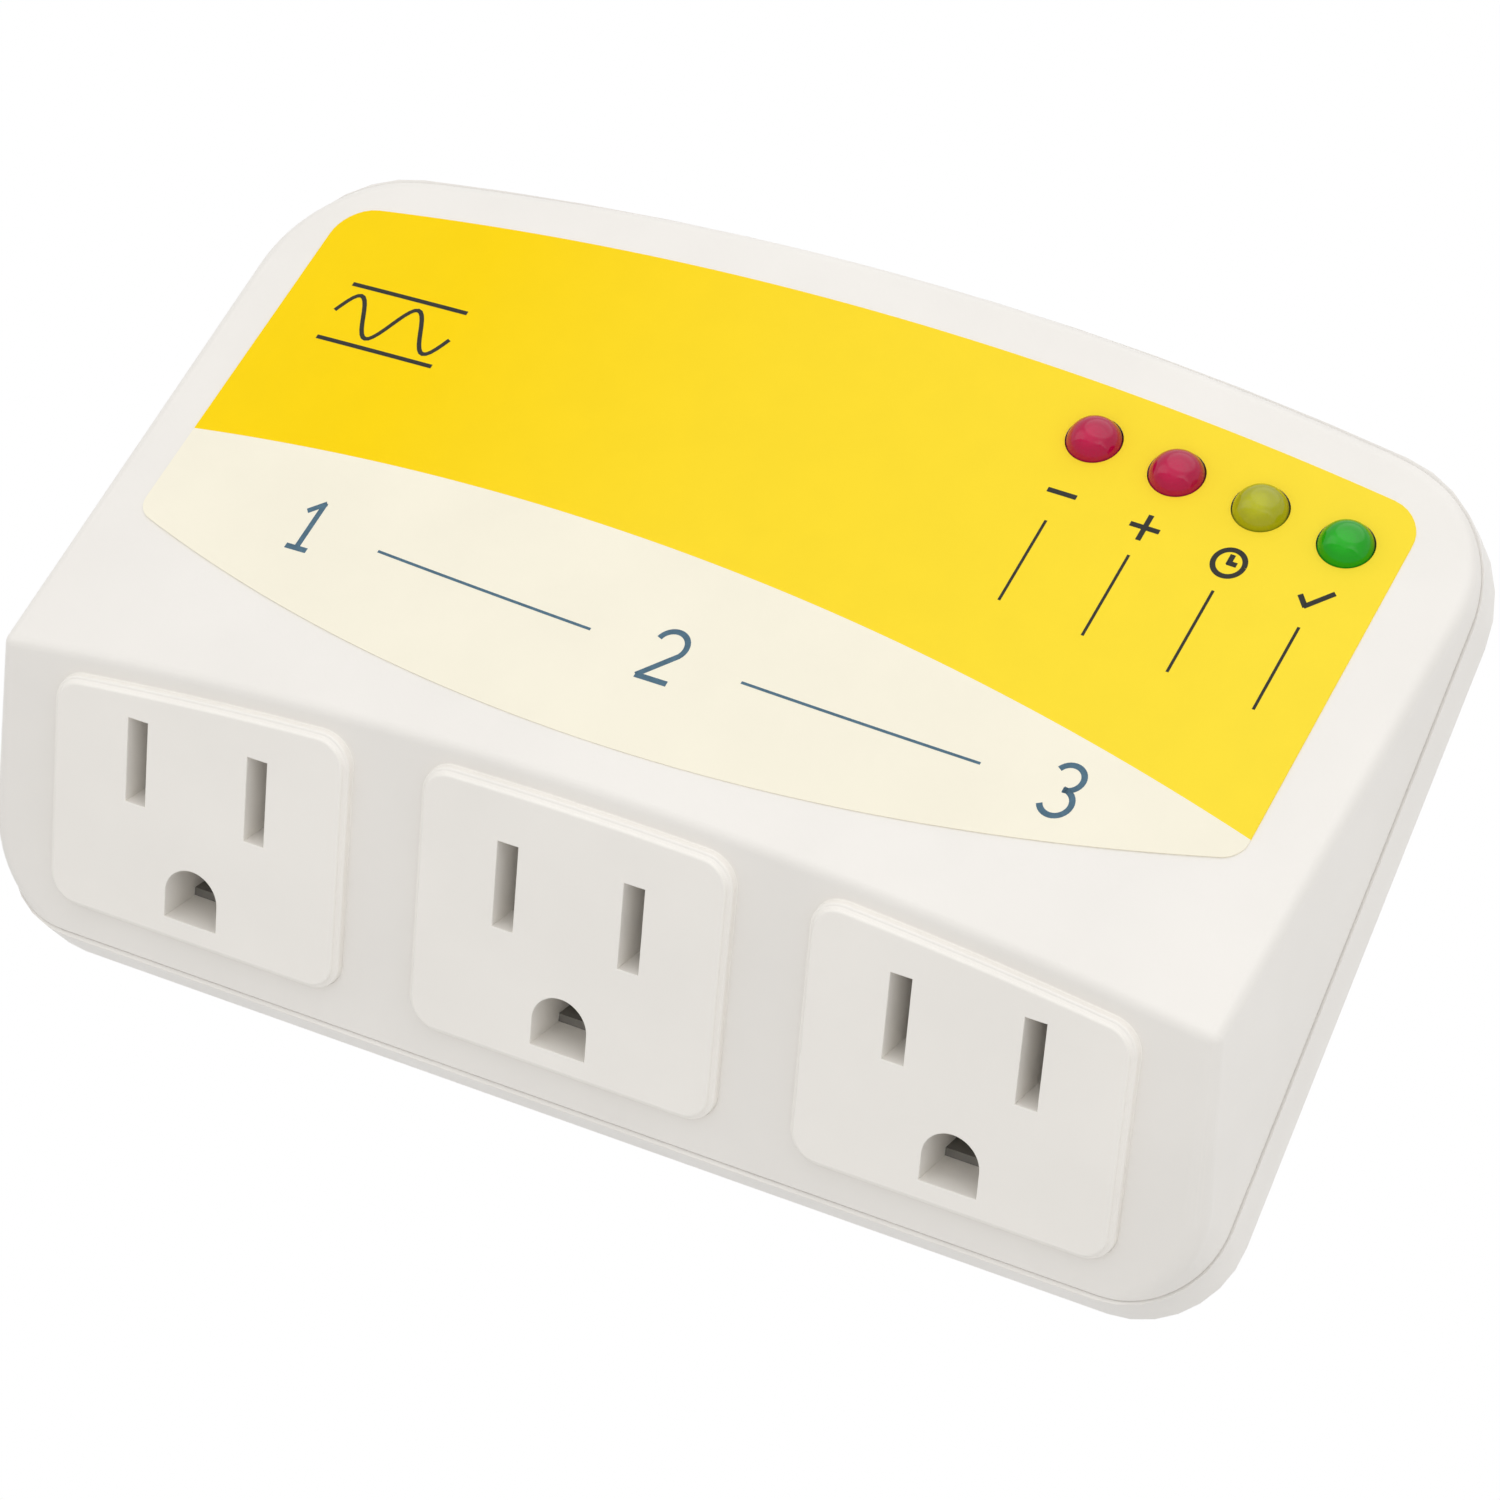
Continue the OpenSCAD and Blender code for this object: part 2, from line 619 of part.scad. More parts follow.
// Blade in the plug's frame: x across, y up, its outer part below the back face
module blade(x) {
    tip = -cover_depth - blade_l;
    color(tin) in_use() translate([x, plug_up, 0]) {
        difference() {
            rotate([90, 0, 90]) translate([0, 0, -blade_t / 2]) linear_extrude(blade_t)
                polygon([[-blade_w / 2, cover_floor], [-blade_w / 2, tip + blade_chamfer],
                         [-blade_w / 2 + blade_chamfer, tip], [blade_w / 2 - blade_chamfer, tip],
                         [blade_w / 2, tip + blade_chamfer], [blade_w / 2, cover_floor]]);
            translate([-blade_t, 0, tip + blade_hole_back]) rotate([0, 90, 0])
                cylinder(d = blade_hole_d, h = 2 * blade_t, $fn = 32);
        }
        block(blade_t + 2 * shoulder_w, blade_w + 2 * shoulder_w, cover_floor, retainer_seat);
        block(tail_t, tail_w, retainer_seat, -board_drop + lead_tail);
    }
}
module line_blade() { blade(blade_pitch / 2); }
module neutral_blade() { blade(-blade_pitch / 2); }
module ground_pin() {
    tip = -cover_depth - pin_l;
    color(tin) in_use() translate([0, plug_up - ground_drop, 0]) {
        bar(pin_d, tip + pin_d / 2, -cover_depth - pin_neck_out, 48);
        bar(pin_d - 2 * pin_neck, tip + pin_d, cover_floor + shoulder_t / 2, 48);
        translate([0, 0, tip + pin_d / 2]) sphere(d = pin_d, $fn = 48);
        bar(pin_d + 2 * shoulder_w, cover_floor, retainer_seat, 48);
        bar(tail_w, cover_floor, -board_drop + lead_tail);
    }
}

// Outline of the retainer round the plug's centre
retainer_half_w = 12.6;
retainer_ends = [-17, 6.6];
retainer_corner_r = 2;

module blade_retainer() {
    color([0.30, 0.31, 0.33]) in_use() translate([0, plug_up, 0]) difference() {
        slab(retainer_seat + fit, retainer_seat + fit + retainer_t,
             rounded([[-retainer_half_w, retainer_ends[0]], [retainer_half_w, retainer_ends[0]],
                      [retainer_half_w, retainer_ends[1]], [-retainer_half_w, retainer_ends[1]]],
                     [for (i = [1:4]) retainer_corner_r]));
        tails(slack);
        for (p = retainer_screw_places) translate(p)
            bar(small_screw_d + 2 * slack, retainer_seat - over, retainer_seat + retainer_t + over);
    }
}

// Screws

// Screw with a round head seated at z = 0, its shank pointing along +z
module screw(d, l, head_d, head_h) {
    // Width and depth of the slot across the head
    slot = head_h / 3;
    bar(d, -fit, l, 24);
    difference() {
        bar(head_d, -head_h, 0);
        block(slot, 2 * head_d, -head_h - over, slot - head_h);
        block(2 * head_d, slot, -head_h - over, slot - head_h);
    }
}
module small_screw(l) { screw(small_screw_d, l, small_head_d, small_head_h); }

module case_screws() {
    color(steel) in_use() for (p = case_screw_places) translate([p[0], p[1], case_head_seat])
        screw(case_screw_d, case_screw_l, case_head_d, case_head_h);
}
module carrier_screws() {
    color(steel) at_outlets() for (p = carrier_screw_places)
        translate([p[0], p[1], carrier_head_z]) small_screw(carrier_screw_l);
}
module board_screws() {
    color(steel) in_use() for (p = post_places)
        translate([p[0], p[1], -board_drop]) rotate([180, 0, 0]) small_screw(post_screw_l);
}
module retainer_screws() {
    color(steel) in_use() for (p = retainer_screw_places)
        translate([p[0], plug_up + p[1], retainer_seat + retainer_t + fit]) rotate([180, 0, 0])
            small_screw(retainer_screw_l);
}

// Contacts behind the outlets

strip_foot = -carrier_floor + fit;
// Thickness of the rib between the neutral and the ground strip
rib_t = 1;
ground_strip_y = -strip_off - strip_t - 2 * slack - rib_t;
carrier_rim = flange_z - fit;
carrier_high = strip_off + strip_t + fit + carrier_wall;
// Room below the ground leaves
ground_room = 0.6;
carrier_floor_t = 1.5;
// Length of a strip's tail below the carrier's floor, and its width
tail_drop = 4;
strip_tail_w = 3;
// Height of a contact leaf, and how far below its mouth it pinches
leaf_l = 12;
leaf_waist = 3.75;
// Height of the ground leaves along their strip
ground_leaf_h = 5;
// How far a strip runs past its last leaf
strip_end = 4;
strip_half_l = outlet_pitch + strip_end;
// Places of the strips' tails: the power strips' past the outer outlets' centres, the ground
// strip's past the middle between two outlets
power_tail_off = 5.35;
ground_tail_off = 0.7;
power_tail_x = outlet_pitch + power_tail_off;
ground_tail_x = outlet_pitch / 2 + ground_tail_off;

// Pair of leaves that grip along x, drawn in the x-z plane and h thick along y from y = 0
module leaf_pair(pinch, mouth, h) {
    top = strip_foot + leaf_l;
    waist = top - leaf_waist;
    for (side = [-1, 1]) rotate([90, 0, 0]) mirror([0, 0, 1]) linear_extrude(h)
        polygon([for (p = [[mouth / 2, strip_foot], [pinch / 2, waist], [mouth / 2, top],
                           [mouth / 2 + leaf_t, top], [pinch / 2 + leaf_t, waist],
                           [mouth / 2 + leaf_t, strip_foot]]) [side * p[0], p[1]]]);
}

// Strip along x on the carrier's floor, with its near face at y = 0, and a tail through the floor
module strip(from, to, tail_x) {
    translate([from, 0, strip_foot]) cube([to - from, strip_t, strip_w]);
    translate([tail_x - strip_tail_w / 2, 0, -carrier_floor - tail_drop])
        cube([strip_tail_w, strip_t, tail_drop + strip_w / 2]);
}

module line_bus() {
    color(brass) at_outlets() {
        translate([0, strip_off, 0])
            strip(slot_pitch / 2 - strip_half_l, slot_pitch / 2 + strip_half_l, power_tail_x);
        for (x = outlet_x) translate([x + slot_pitch / 2, strip_off - leaf_h, 0])
            leaf_pair(leaf_pinch, leaf_mouth, leaf_h);
    }
}
module neutral_bus() {
    color(brass) at_outlets() {
        translate([0, -strip_off - strip_t, 0])
            strip(-slot_pitch / 2 - strip_half_l, -slot_pitch / 2 + strip_half_l, -power_tail_x);
        for (x = outlet_x) translate([x - slot_pitch / 2, -strip_off, 0])
            leaf_pair(leaf_pinch, leaf_mouth, leaf_h);
    }
}
module ground_bus() {
    color(brass) at_outlets() {
        translate([0, ground_strip_y - strip_t, 0])
            strip(-strip_half_l, strip_half_l, ground_tail_x);
        for (x = outlet_x) translate([x, ground_strip_y - strip_t - ground_leaf_h, 0])
            leaf_pair(ground_pinch, ground_mouth, ground_leaf_h);
    }
}

// Radius of the columns that the carrier screws pass through, and height of the rib's top
column_r = 3;
rib_top = -5;
carrier_corner_r = 1.5;

module contact_carrier() {
    low = ground_strip_y - strip_t - ground_leaf_h - ground_room - carrier_wall;
    foot = -carrier_floor - carrier_floor_t;
    // Outline of the tray, g inside its outer wall
    function tray(g) =
        rounded([[-carrier_half_w + g, low + g], [carrier_half_w - g, low + g],
                 [carrier_half_w - g, carrier_high - g], [-carrier_half_w + g, carrier_high - g]],
                [for (i = [1:4]) max(carrier_corner_r - g, fit)]);
    color([0.22, 0.23, 0.25]) at_outlets() difference() {
        union() {
            difference() {
                slab(foot, carrier_rim, tray(0));
                slab(-carrier_floor, over, tray(carrier_wall));
            }
            translate([-carrier_half_w + fit, -strip_off - strip_t - slack - rib_t, -carrier_floor - fit])
                cube([2 * (carrier_half_w - fit), rib_t, carrier_floor + rib_top + fit]);
            for (p = carrier_screw_places) translate(p) {
                bar(2 * column_r, -carrier_floor - fit, carrier_boss_z - fit);
                block(rib_t, 2 * (strip_off - 2 * slack), -carrier_floor - fit, carrier_boss_z - fit);
            }
        }
        for (p = carrier_screw_places) translate(p) {
            bar(small_screw_d + 2 * slack, foot - over, over);
            bar(small_head_d + 2 * slack, foot - over, carrier_head_z);
        }
        for (x = outlet_x) translate([x, -ground_drop, 0])
            bar(ground_w + slack, foot - over, -carrier_floor + over);
        for (tail = [[power_tail_x, strip_off], [-power_tail_x, -strip_off - strip_t],
                     [ground_tail_x, ground_strip_y - strip_t]])
            translate([tail[0], tail[1] + strip_t / 2, 0])
                block(strip_tail_w + 2 * fit, strip_t + 2 * fit, foot - over, -carrier_floor + over);
    }
}

// Places on the circuit board, across the case and back from its far edge, and the leads that
// each piece has there

relay_at = [19, 38.6];
film_cap_at = [-13, 37.4];
smoothing_cap_at = [38, 35.6];
timing_cap_at = [24, 25.6];
chip_at = [-18, 21.6];
regulator_at = [15, 16.6];
driver_at = [15, 25.6];
fuse_at = [-43.5, 21.1];
bleed_at = [-30.9, 28.6];
cutoff_at = [-30.5, 40];
varistor_ats = [[-14.5, 44], [-30.5, 44], [-30.5, 36]];
diode_at = [-3, 22];
diode_pitch = 4.5;
diode_ats = [for (i = [0:3]) diode_at + [i * diode_pitch, 0]];
upright_resistor_at = [30.5, 22.1];
upright_resistor_pitch = 3.5;
upright_resistor_ats = [for (i = [0:3]) upright_resistor_at + [i * upright_resistor_pitch, 0]];
level_resistor_ats = [[-22, 15], [-10, 15], [2, 15], [-14, 11.6]];
// Pads of the wires from the strips, in the case frame: the power pads lie past the outer
// outlets' centres
power_pad_off = 1.35;
power_pad_up = 38.2;
power_pad = [outlet_pitch + power_pad_off, power_pad_up];
ground_pad = [2.6, 38];

// Diameters of thin and of stout leads
lead_d = 0.7;
stout_lead_d = 1;
// Lead spacing of each kind of piece
varistor_span = 7.5;
film_cap_span = 15;
smoothing_span = 5;
timing_span = 2.5;
diode_span = 10;
resistor_span = 8;
bleed_span = 18;
cutoff_span = 13;
fuse_span = 15;
chip_pitch = 2.54;
chip_rows = 7.62;
chip_pins_a_side = 7;
// Relay leads from the relay's centre: common, coil, coil, fixed contact, stop
relay_leads = [[-7.3, 0], [-1.5, 6.3], [-1.5, -6.3], [7.45, 0], [8.3, -3.4]];

function pair(at, span, along_y = false) =
    [for (s = [-1, 1]) at + s * span / 2 * (along_y ? [0, 1] : [1, 0])];
chip_leads = [for (i = [0:chip_pins_a_side - 1], s = [-1, 1])
    chip_at + [(i - (chip_pins_a_side - 1) / 2) * chip_pitch, s * chip_rows / 2]];
function three_leads(at) = [for (i = [-1:1]) at + [i * chip_pitch / 2, 0]];
thin_leads = concat(
    [for (p = varistor_ats) each pair(p, varistor_span)], pair(film_cap_at, film_cap_span),
    pair(smoothing_cap_at, smoothing_span), pair(timing_cap_at, timing_span),
    [for (p = diode_ats) each pair(p, diode_span, true)],
    [for (p = upright_resistor_ats) each pair(p, resistor_span, true)],
    [for (p = level_resistor_ats) each pair(p, resistor_span)], pair(bleed_at, bleed_span),
    pair(cutoff_at, cutoff_span), chip_leads, three_leads(regulator_at), three_leads(driver_at));
lamp_leads = [for (i = [0:lamp_count - 1]) each pair(lamp_place(i), lamp_lead_pitch)];
stout_leads = concat([for (p = relay_leads) relay_at + [p[0], -p[1]]], pair(fuse_at, fuse_span, true));

// Room between the board and a screw boss of the cover
boss_room = 0.6;

module circuit_board() {
    color([0.55, 0.42, 0.20]) in_use() difference() {
        slab(-board_drop - board_t, -board_drop, outline(board_inset));
        translate([0, board_near / 2, 0]) block(2 * shell_w, board_near, -shell_h, shell_h);
        for (p = case_screw_places) translate(p) bar(2 * (cover_boss_r + boss_room), -shell_h, shell_h);
        for (p = post_places) translate(p) bar(small_screw_d + 2 * slack, -shell_h, shell_h);
        for (p = concat([for (q = thin_leads) laid(q)], lamp_leads)) translate(p)
            bar(lead_d + 2 * fit, -shell_h, shell_h, 16);
        for (p = stout_leads) translate(laid(p)) bar(stout_lead_d + 2 * fit, -shell_h, shell_h, 16);
        translate([0, plug_up, 0]) {
            for (side = [-1, 1]) translate([side * blade_pitch / 2, 0, 0])
                block(tail_t + 2 * slack, tail_w + 2 * slack, -shell_h, shell_h);
            translate([0, -ground_drop, 0]) bar(tail_w + 2 * slack, -shell_h, shell_h);
        }
    }
}

// Relay, drawn with x along its length and z out of the board

relay_base_t = 1.6;
relay_corner_r = 0.8;
iron_t = 1;
yoke_w = 8;
coil_x = -1.5;
coil_d = 9.6;
flange_d = 10.6;
bobbin_flange_t = 0.7;
core_d = 3;
spool_d = 4.4;
pole_d = 5.6;
pole_t = 0.8;
// Place of the armature's hinge line, on top of the yoke
hinge_x = -7.3;
hinge_z = 11.45;
// How far the armature and the moving contact reach from the hinge line
armature_l = 8.9;
armature_heel = 0.5;
contact_l = 14.7;
contact_start = 2.3;
contact_w = 4.4;
contact_t = 0.3;
rivet_d = 2.4;
rivet_t = 0.55;
rivet_x = 13.5;
rivet_head_d = 1.2;
rivet_head_t = 0.4;
rivet_head_xs = [4, 7];
post_w = 2.6;
post_t = 0.5;
stop_z = 13.75;
yoke_foot = relay_base_t + fit;
pole_top = hinge_z - fit;

module in_relay() { on_board(relay_at) children(); }
module at_hinge() {
    in_relay() translate([hinge_x, 0, hinge_z]) rotate([0, -armature_open, 0]) children();
}

module relay_base() {
    inset = 2 * (relay_wall + fit);
    color([0.12, 0.12, 0.13]) in_relay() difference() {
        slab(0, relay_base_t, rounded_rect(relay_l - inset, relay_w - inset, relay_corner_r / 2));
        for (p = relay_leads) translate(p) bar(stout_lead_d + 2 * fit, -over, relay_base_t + over, 16);
    }
}
module relay_case() {
    color([0.10, 0.25, 0.62]) in_relay() difference() {
        slab(0, relay_h, rounded_rect(relay_l, relay_w, relay_corner_r));
        slab(-over, relay_h - relay_wall,
             rounded_rect(relay_l - 2 * relay_wall, relay_w - 2 * relay_wall, relay_corner_r / 2));
    }
}
module relay_terminals() {
    color(tin) in_relay() for (p = relay_leads) translate(p)
        bar(stout_lead_d, -board_t - lead_tail, relay_base_t, 16);
}
module relay_yoke() {
    color(steel) in_relay() difference() {
        union() {
            translate([hinge_x - iron_t / 2, -yoke_w / 2, yoke_foot])
                cube([coil_x - hinge_x + spool_d, yoke_w, iron_t]);
            translate([hinge_x - iron_t / 2, -yoke_w / 2, yoke_foot])
                cube([iron_t, yoke_w, pole_top - yoke_foot]);
        }
        translate([coil_x, 0, 0]) bar(core_d + 2 * fit, 0, yoke_foot + iron_t + over);
    }
}
module relay_core() {
    color(steel) in_relay() translate([coil_x, 0, 0]) {
        bar(core_d, yoke_foot, pole_top - pole_t);
        bar(pole_d, pole_top - pole_t, pole_top);
    }
}
module relay_bobbin() {
    low = yoke_foot + iron_t + fit;
    high = pole_top - pole_t - fit;
    color([0.85, 0.85, 0.80]) in_relay() translate([coil_x, 0, 0]) difference() {
        union() {
            bar(flange_d, low, low + bobbin_flange_t);
            bar(spool_d, low, high);
            bar(flange_d, high - bobbin_flange_t, high);
        }
        bar(core_d + 2 * fit, 0, relay_h);
    }
}
module relay_coil() {
    low = yoke_foot + iron_t + fit + bobbin_flange_t;
    high = pole_top - pole_t - fit - bobbin_flange_t;
    color([0.72, 0.38, 0.20]) in_relay() translate([coil_x, 0, 0]) difference() {
        bar(coil_d, low + fit, high - fit, 48);
        bar(spool_d + 2 * fit, 0, relay_h);
    }
}
module relay_armature() {
    color(steel) at_hinge() translate([-armature_heel, -yoke_w / 2, 0])
        cube([armature_l + armature_heel, yoke_w, iron_t]);
}
module relay_moving_contact() {
    color([0.80, 0.50, 0.32]) at_hinge() {
        translate([contact_start, -contact_w / 2, iron_t])
            cube([contact_l - contact_start, contact_w, contact_t]);
        translate([rivet_x, 0, 0]) bar(rivet_d, iron_t - rivet_t, iron_t);
        for (x = rivet_head_xs) translate([x, 0, 0])
            bar(rivet_head_d, iron_t + contact_t, iron_t + contact_t + rivet_head_t, 24);
    }
}
module relay_fixed_contact() {
    seat = hinge_z + iron_t - rivet_t - fit;
    x = hinge_x + rivet_x;
    color(brass) in_relay() {
        translate([relay_leads[3][0] - post_t / 2, -post_w / 2, relay_base_t])
            cube([post_t, post_w, seat - rivet_t - relay_base_t]);
        translate([x - rivet_d / 2, -post_w / 2, seat - rivet_t - post_t])
            cube([relay_leads[3][0] + post_t / 2 - x + rivet_d / 2, post_w, post_t]);
        translate([x, 0, 0]) bar(rivet_d, seat - rivet_t, seat);
    }
}
module relay_stop() {
    x = hinge_x + rivet_x;
    color(brass) in_relay() {
        translate([relay_leads[4][0] - post_t / 2, relay_leads[4][1] - post_t, relay_base_t])
            cube([post_t, 2 * post_t, stop_z + post_t - relay_base_t]);
        translate([x - rivet_d / 2, relay_leads[4][1] - post_t, stop_z])
            cube([relay_leads[4][0] + post_t / 2 - x + rivet_d / 2, contact_w / 2 - relay_leads[4][1],
                  post_t]);
    }
}

// Other pieces on the board, drawn with their foot at z = 0 over the board's front side

// Leads of a pair, from behind the board up to a height
module leads(span, high, d = lead_d) {
    for (s = [-1, 1]) translate([s * span / 2, 0, 0]) bar(d, -board_t - lead_tail, high, 16);
}
// Piece lying along x, with leads bent down through the board
module axial(d, l, span) {
    z = d / 2 + slack;
    translate([-l / 2, 0, z]) rotate([0, 90, 0]) cylinder(d = d, h = l, $fn = 32);
    translate([-span / 2, 0, z]) rotate([0, 90, 0]) cylinder(d = lead_d, h = span, $fn = 16);
    leads(span, z);
    for (s = [-1, 1]) translate([s * span / 2, 0, z]) sphere(d = lead_d, $fn = 16);
}

varistor_d = 14;
varistor_t = 4;
varistor_lift = 2.5;

module varistors() {
    r = varistor_t / 2;
    color([0.10, 0.32, 0.66]) for (p = varistor_ats) on_board(p) {
        translate([0, 0, varistor_lift + varistor_d / 2]) rotate([90, 0, 0]) rotate_extrude($fn = 64) {
            translate([0, -r]) square([varistor_d / 2 - r, varistor_t]);
            intersection() {
                translate([varistor_d / 2 - r, 0]) circle(r = r, $fn = 32);
                translate([0, -r]) square([varistor_d, varistor_t]);
            }
        }
        leads(varistor_span, varistor_lift + varistor_d / 2);
    }
}

cutoff_d = 3.6;
cutoff_l = 9.5;
module thermal_cutoff() { color(tin) on_board(cutoff_at) axial(cutoff_d, cutoff_l, cutoff_span); }

film_cap_size = [17.5, 7.6, 13.5];
film_cap_r = 0.8;
module film_capacitor() {
    color([0.93, 0.77, 0.16]) on_board(film_cap_at) {
        slab(slack, film_cap_size[2], rounded_rect(film_cap_size[0], film_cap_size[1], film_cap_r));
        leads(film_cap_span, slack);
    }
}

// Can with a rolled groove near its foot
can_groove = 0.3;
can_groove_z = 1.6;
can_groove_h = 0.8;
module can(d, h, span) {
    bar(d, slack, can_groove_z, 48);
    bar(d - 2 * can_groove, can_groove_z, can_groove_z + can_groove_h, 48);
    bar(d, can_groove_z + can_groove_h, h, 48);
    leads(span, slack);
}
smoothing_d = 10;
smoothing_h = 12.5;
timing_d = 6.3;
timing_h = 11;
module smoothing_capacitor() {
    color([0.12, 0.13, 0.22]) on_board(smoothing_cap_at) can(smoothing_d, smoothing_h, smoothing_span);
}
module timing_capacitor() {
    color([0.12, 0.13, 0.22]) on_board(timing_cap_at) can(timing_d, timing_h, timing_span);
}

diode_d = 2.7;
diode_l = 5.2;
module rectifier_diodes() {
    color([0.10, 0.10, 0.11]) for (p = diode_ats) on_board(p) rotate([0, 0, 90])
        axial(diode_d, diode_l, diode_span);
}
bleed_d = 5;
bleed_l = 14;
module bleed_resistor() {
    color([0.55, 0.66, 0.58]) on_board(bleed_at) axial(bleed_d, bleed_l, bleed_span);
}
resistor_d = 2.4;
resistor_l = 6;
module small_resistors() {
    color([0.80, 0.68, 0.48]) {
        for (p = upright_resistor_ats) on_board(p) rotate([0, 0, 90])
            axial(resistor_d, resistor_l, resistor_span);
        for (p = level_resistor_ats) on_board(p) axial(resistor_d, resistor_l, resistor_span);
    }
}

chip_size = [19.3, 6.4, 3.3];
chip_lift = 0.5;
chip_leg_w = 0.5;
module control_chip() {
    color([0.10, 0.10, 0.11]) {
        on_board(chip_at) block(chip_size[0], chip_size[1], chip_lift, chip_lift + chip_size[2]);
        // Each leg runs out of the body's side and down through the board
        for (p = chip_leads) on_board(p) {
            leg_z = chip_lift + chip_size[2] / 2;
            block(chip_leg_w, chip_leg_w, -board_t - lead_tail, leg_z);
            side = p[1] < chip_at[1] ? -1 : 1;
            translate([0, side * (chip_rows - chip_size[1]) / 4, 0])
                block(chip_leg_w, (chip_rows - chip_size[1]) / 2 + chip_leg_w, leg_z - chip_leg_w, leg_z);
        }
    }
}

// Small three-legged package: a round body with a flat side
package_d = 4.6;
package_h = 4.6;
package_lift = 2.5;
package_flat = 1.2;
package_leg_w = 0.45;
module package(at) {
    color([0.10, 0.10, 0.11]) on_board(at) {
        difference() {
            bar(package_d, package_lift, package_lift + package_h);
            translate([0, -package_d / 2 - package_flat, 0]) block(2 * package_d, package_d, 0, relay_h);
        }
        for (i = [-1:1]) translate([i * chip_pitch / 2, 0, 0])
            block(package_leg_w, package_leg_w, -board_t - lead_tail, package_lift);
    }
}
module regulator() { package(regulator_at); }
module driver_transistor() { package(driver_at); }

fuse_d = 5;
fuse_l = 20;
fuse_cap_l = 5;
fuse_cap_t = 0.25;
fuse_z = 4;
clip_t = 0.4;
clip_w = 4;
module along_fuse() {
    on_board(fuse_at) translate([0, 0, fuse_z]) rotate([-90, 0, 0])
        translate([0, 0, -fuse_l / 2]) children();
}
module board_fuse() {
    color([0.85, 0.84, 0.80]) along_fuse() {
        bar(fuse_d, 0, fuse_cap_l);
        bar(fuse_d - 2 * fuse_cap_t, fuse_cap_l, fuse_l - fuse_cap_l);
        bar(fuse_d, fuse_l - fuse_cap_l, fuse_l);
    }
}
module fuse_clips() {
    half = fuse_d / 2 + fit;
    color(tin) for (p = pair(fuse_at, fuse_span, true)) on_board(p) {
        block(2 * (half + clip_t), clip_w, 0, clip_t);
        for (s = [-1, 1]) translate([s * (half + clip_t / 2), 0, 0])
            block(clip_t, clip_w, 0, fuse_z + fuse_d / 4);
        bar(stout_lead_d, -board_t - lead_tail, clip_t, 16);
    }
}

// Internal wires: each leaves a strip's tail in line with it and comes down square on its pad

// Point of the outlet frame in the case frame
function from_outlets(p) =
    [p[0], (slot_up + p[1]) * face_c - p[2] * face_s, (slot_up + p[1]) * face_s + p[2] * face_c];
tail_way = [0, face_s, -face_c];
wire_sides = 8;
wire_rings = 14;
// Reach of a wire's bend from the tail and from the pad
power_reach = 6;
pad_reach = 6;
ground_reach = 3;
ground_pad_reach = 7.5;

function bend(a, b, c, d) =
    [for (i = [0:wire_rings - 1]) let (t = i / (wire_rings - 1), s = 1 - t)
        s * s * s * a + 3 * s * s * t * b + 3 * s * t * t * c + t * t * t * d];

// Tube along a route, its rings square to it
module wire(route, first, last, aside) {
    n = len(route);
    function way(i) = i == 0 ? first : i == n - 1 ? last : unit(route[i + 1] - route[i - 1]);
    points = [for (i = [0:n - 1])
        let (t = way(i), u = unit(cross(t, aside)), v = cross(t, u))
        for (k = [0:wire_sides - 1])
            route[i] + wire_d / 2 * (cos(360 * k / wire_sides) * u + sin(360 * k / wire_sides) * v)];
    polyhedron(points, concat(
        [[for (k = [0:wire_sides - 1]) wire_sides - 1 - k]],
        [[for (k = [0:wire_sides - 1]) (n - 1) * wire_sides + k]],
        [for (i = [0:n - 2], k = [0:wire_sides - 1])
            let (j = (k + 1) % wire_sides)
            each [[i * wire_sides + k, i * wire_sides + j, (i + 1) * wire_sides + j],
                  [i * wire_sides + k, (i + 1) * wire_sides + j, (i + 1) * wire_sides + k]]]));
}
module strip_wire(x, y, pad, reach, pad_reach, aside) {
    from = from_outlets([x, y, -carrier_floor - tail_drop]);
    to = [pad[0], pad[1], -board_drop];
    in_use() wire(bend(from, from + reach * tail_way, to + [0, 0, pad_reach], to),
                  tail_way, [0, 0, -1], aside);
}
module line_wire() {
    color([0.15, 0.15, 0.16])
        strip_wire(power_tail_x, strip_off + strip_t / 2, power_pad, power_reach, pad_reach,
                   [1, 0, 0]);
}
module neutral_wire() {
    color([0.92, 0.92, 0.90])
        strip_wire(-power_tail_x, -strip_off - strip_t / 2, [-power_pad[0], power_pad[1]],
                   power_reach, pad_reach, [1, 0, 0]);
}
module ground_wire() {
    color([0.12, 0.50, 0.20])
        strip_wire(ground_tail_x, ground_strip_y - strip_t / 2, ground_pad, ground_reach,
                   ground_pad_reach, unit([1, 2, 0]));
}

front_shell();
back_cover();
label();
receptacle_face_left();
receptacle_face_middle();
receptacle_face_right();
contact_carrier();
line_bus();
neutral_bus();
ground_bus();
carrier_screws();
case_screws();
board_screws();
retainer_screws();
line_blade();
neutral_blade();
ground_pin();
blade_retainer();
circuit_board();
led_under_voltage();
led_over_voltage();
led_delay();
led_normal();
led_leads();
led_spacers();
relay_base();
relay_bobbin();
relay_coil();
relay_yoke();
relay_core();
relay_armature();
relay_moving_contact();
relay_fixed_contact();
relay_stop();
relay_terminals();
relay_case();
varistors();
thermal_cutoff();
film_capacitor();
smoothing_capacitor();
timing_capacitor();
rectifier_diodes();
bleed_resistor();
small_resistors();
control_chip();
regulator();
driver_transistor();
board_fuse();
fuse_clips();
line_wire();
neutral_wire();
ground_wire();
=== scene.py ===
"""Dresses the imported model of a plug-in voltage protector: housing, printed film, lamps,
outlets, plug, contacts, circuit board, relay, wires and a plain pale stage.

Lengths are in metres. In the part's frame the wall is y = 0, the front faces -Y and +Z is up.
The case frame has x across, y up the wall from the seam and z out of the seam plane. The outlet
frame has x across, y up the slanted wall from the slot line and z out of it."""

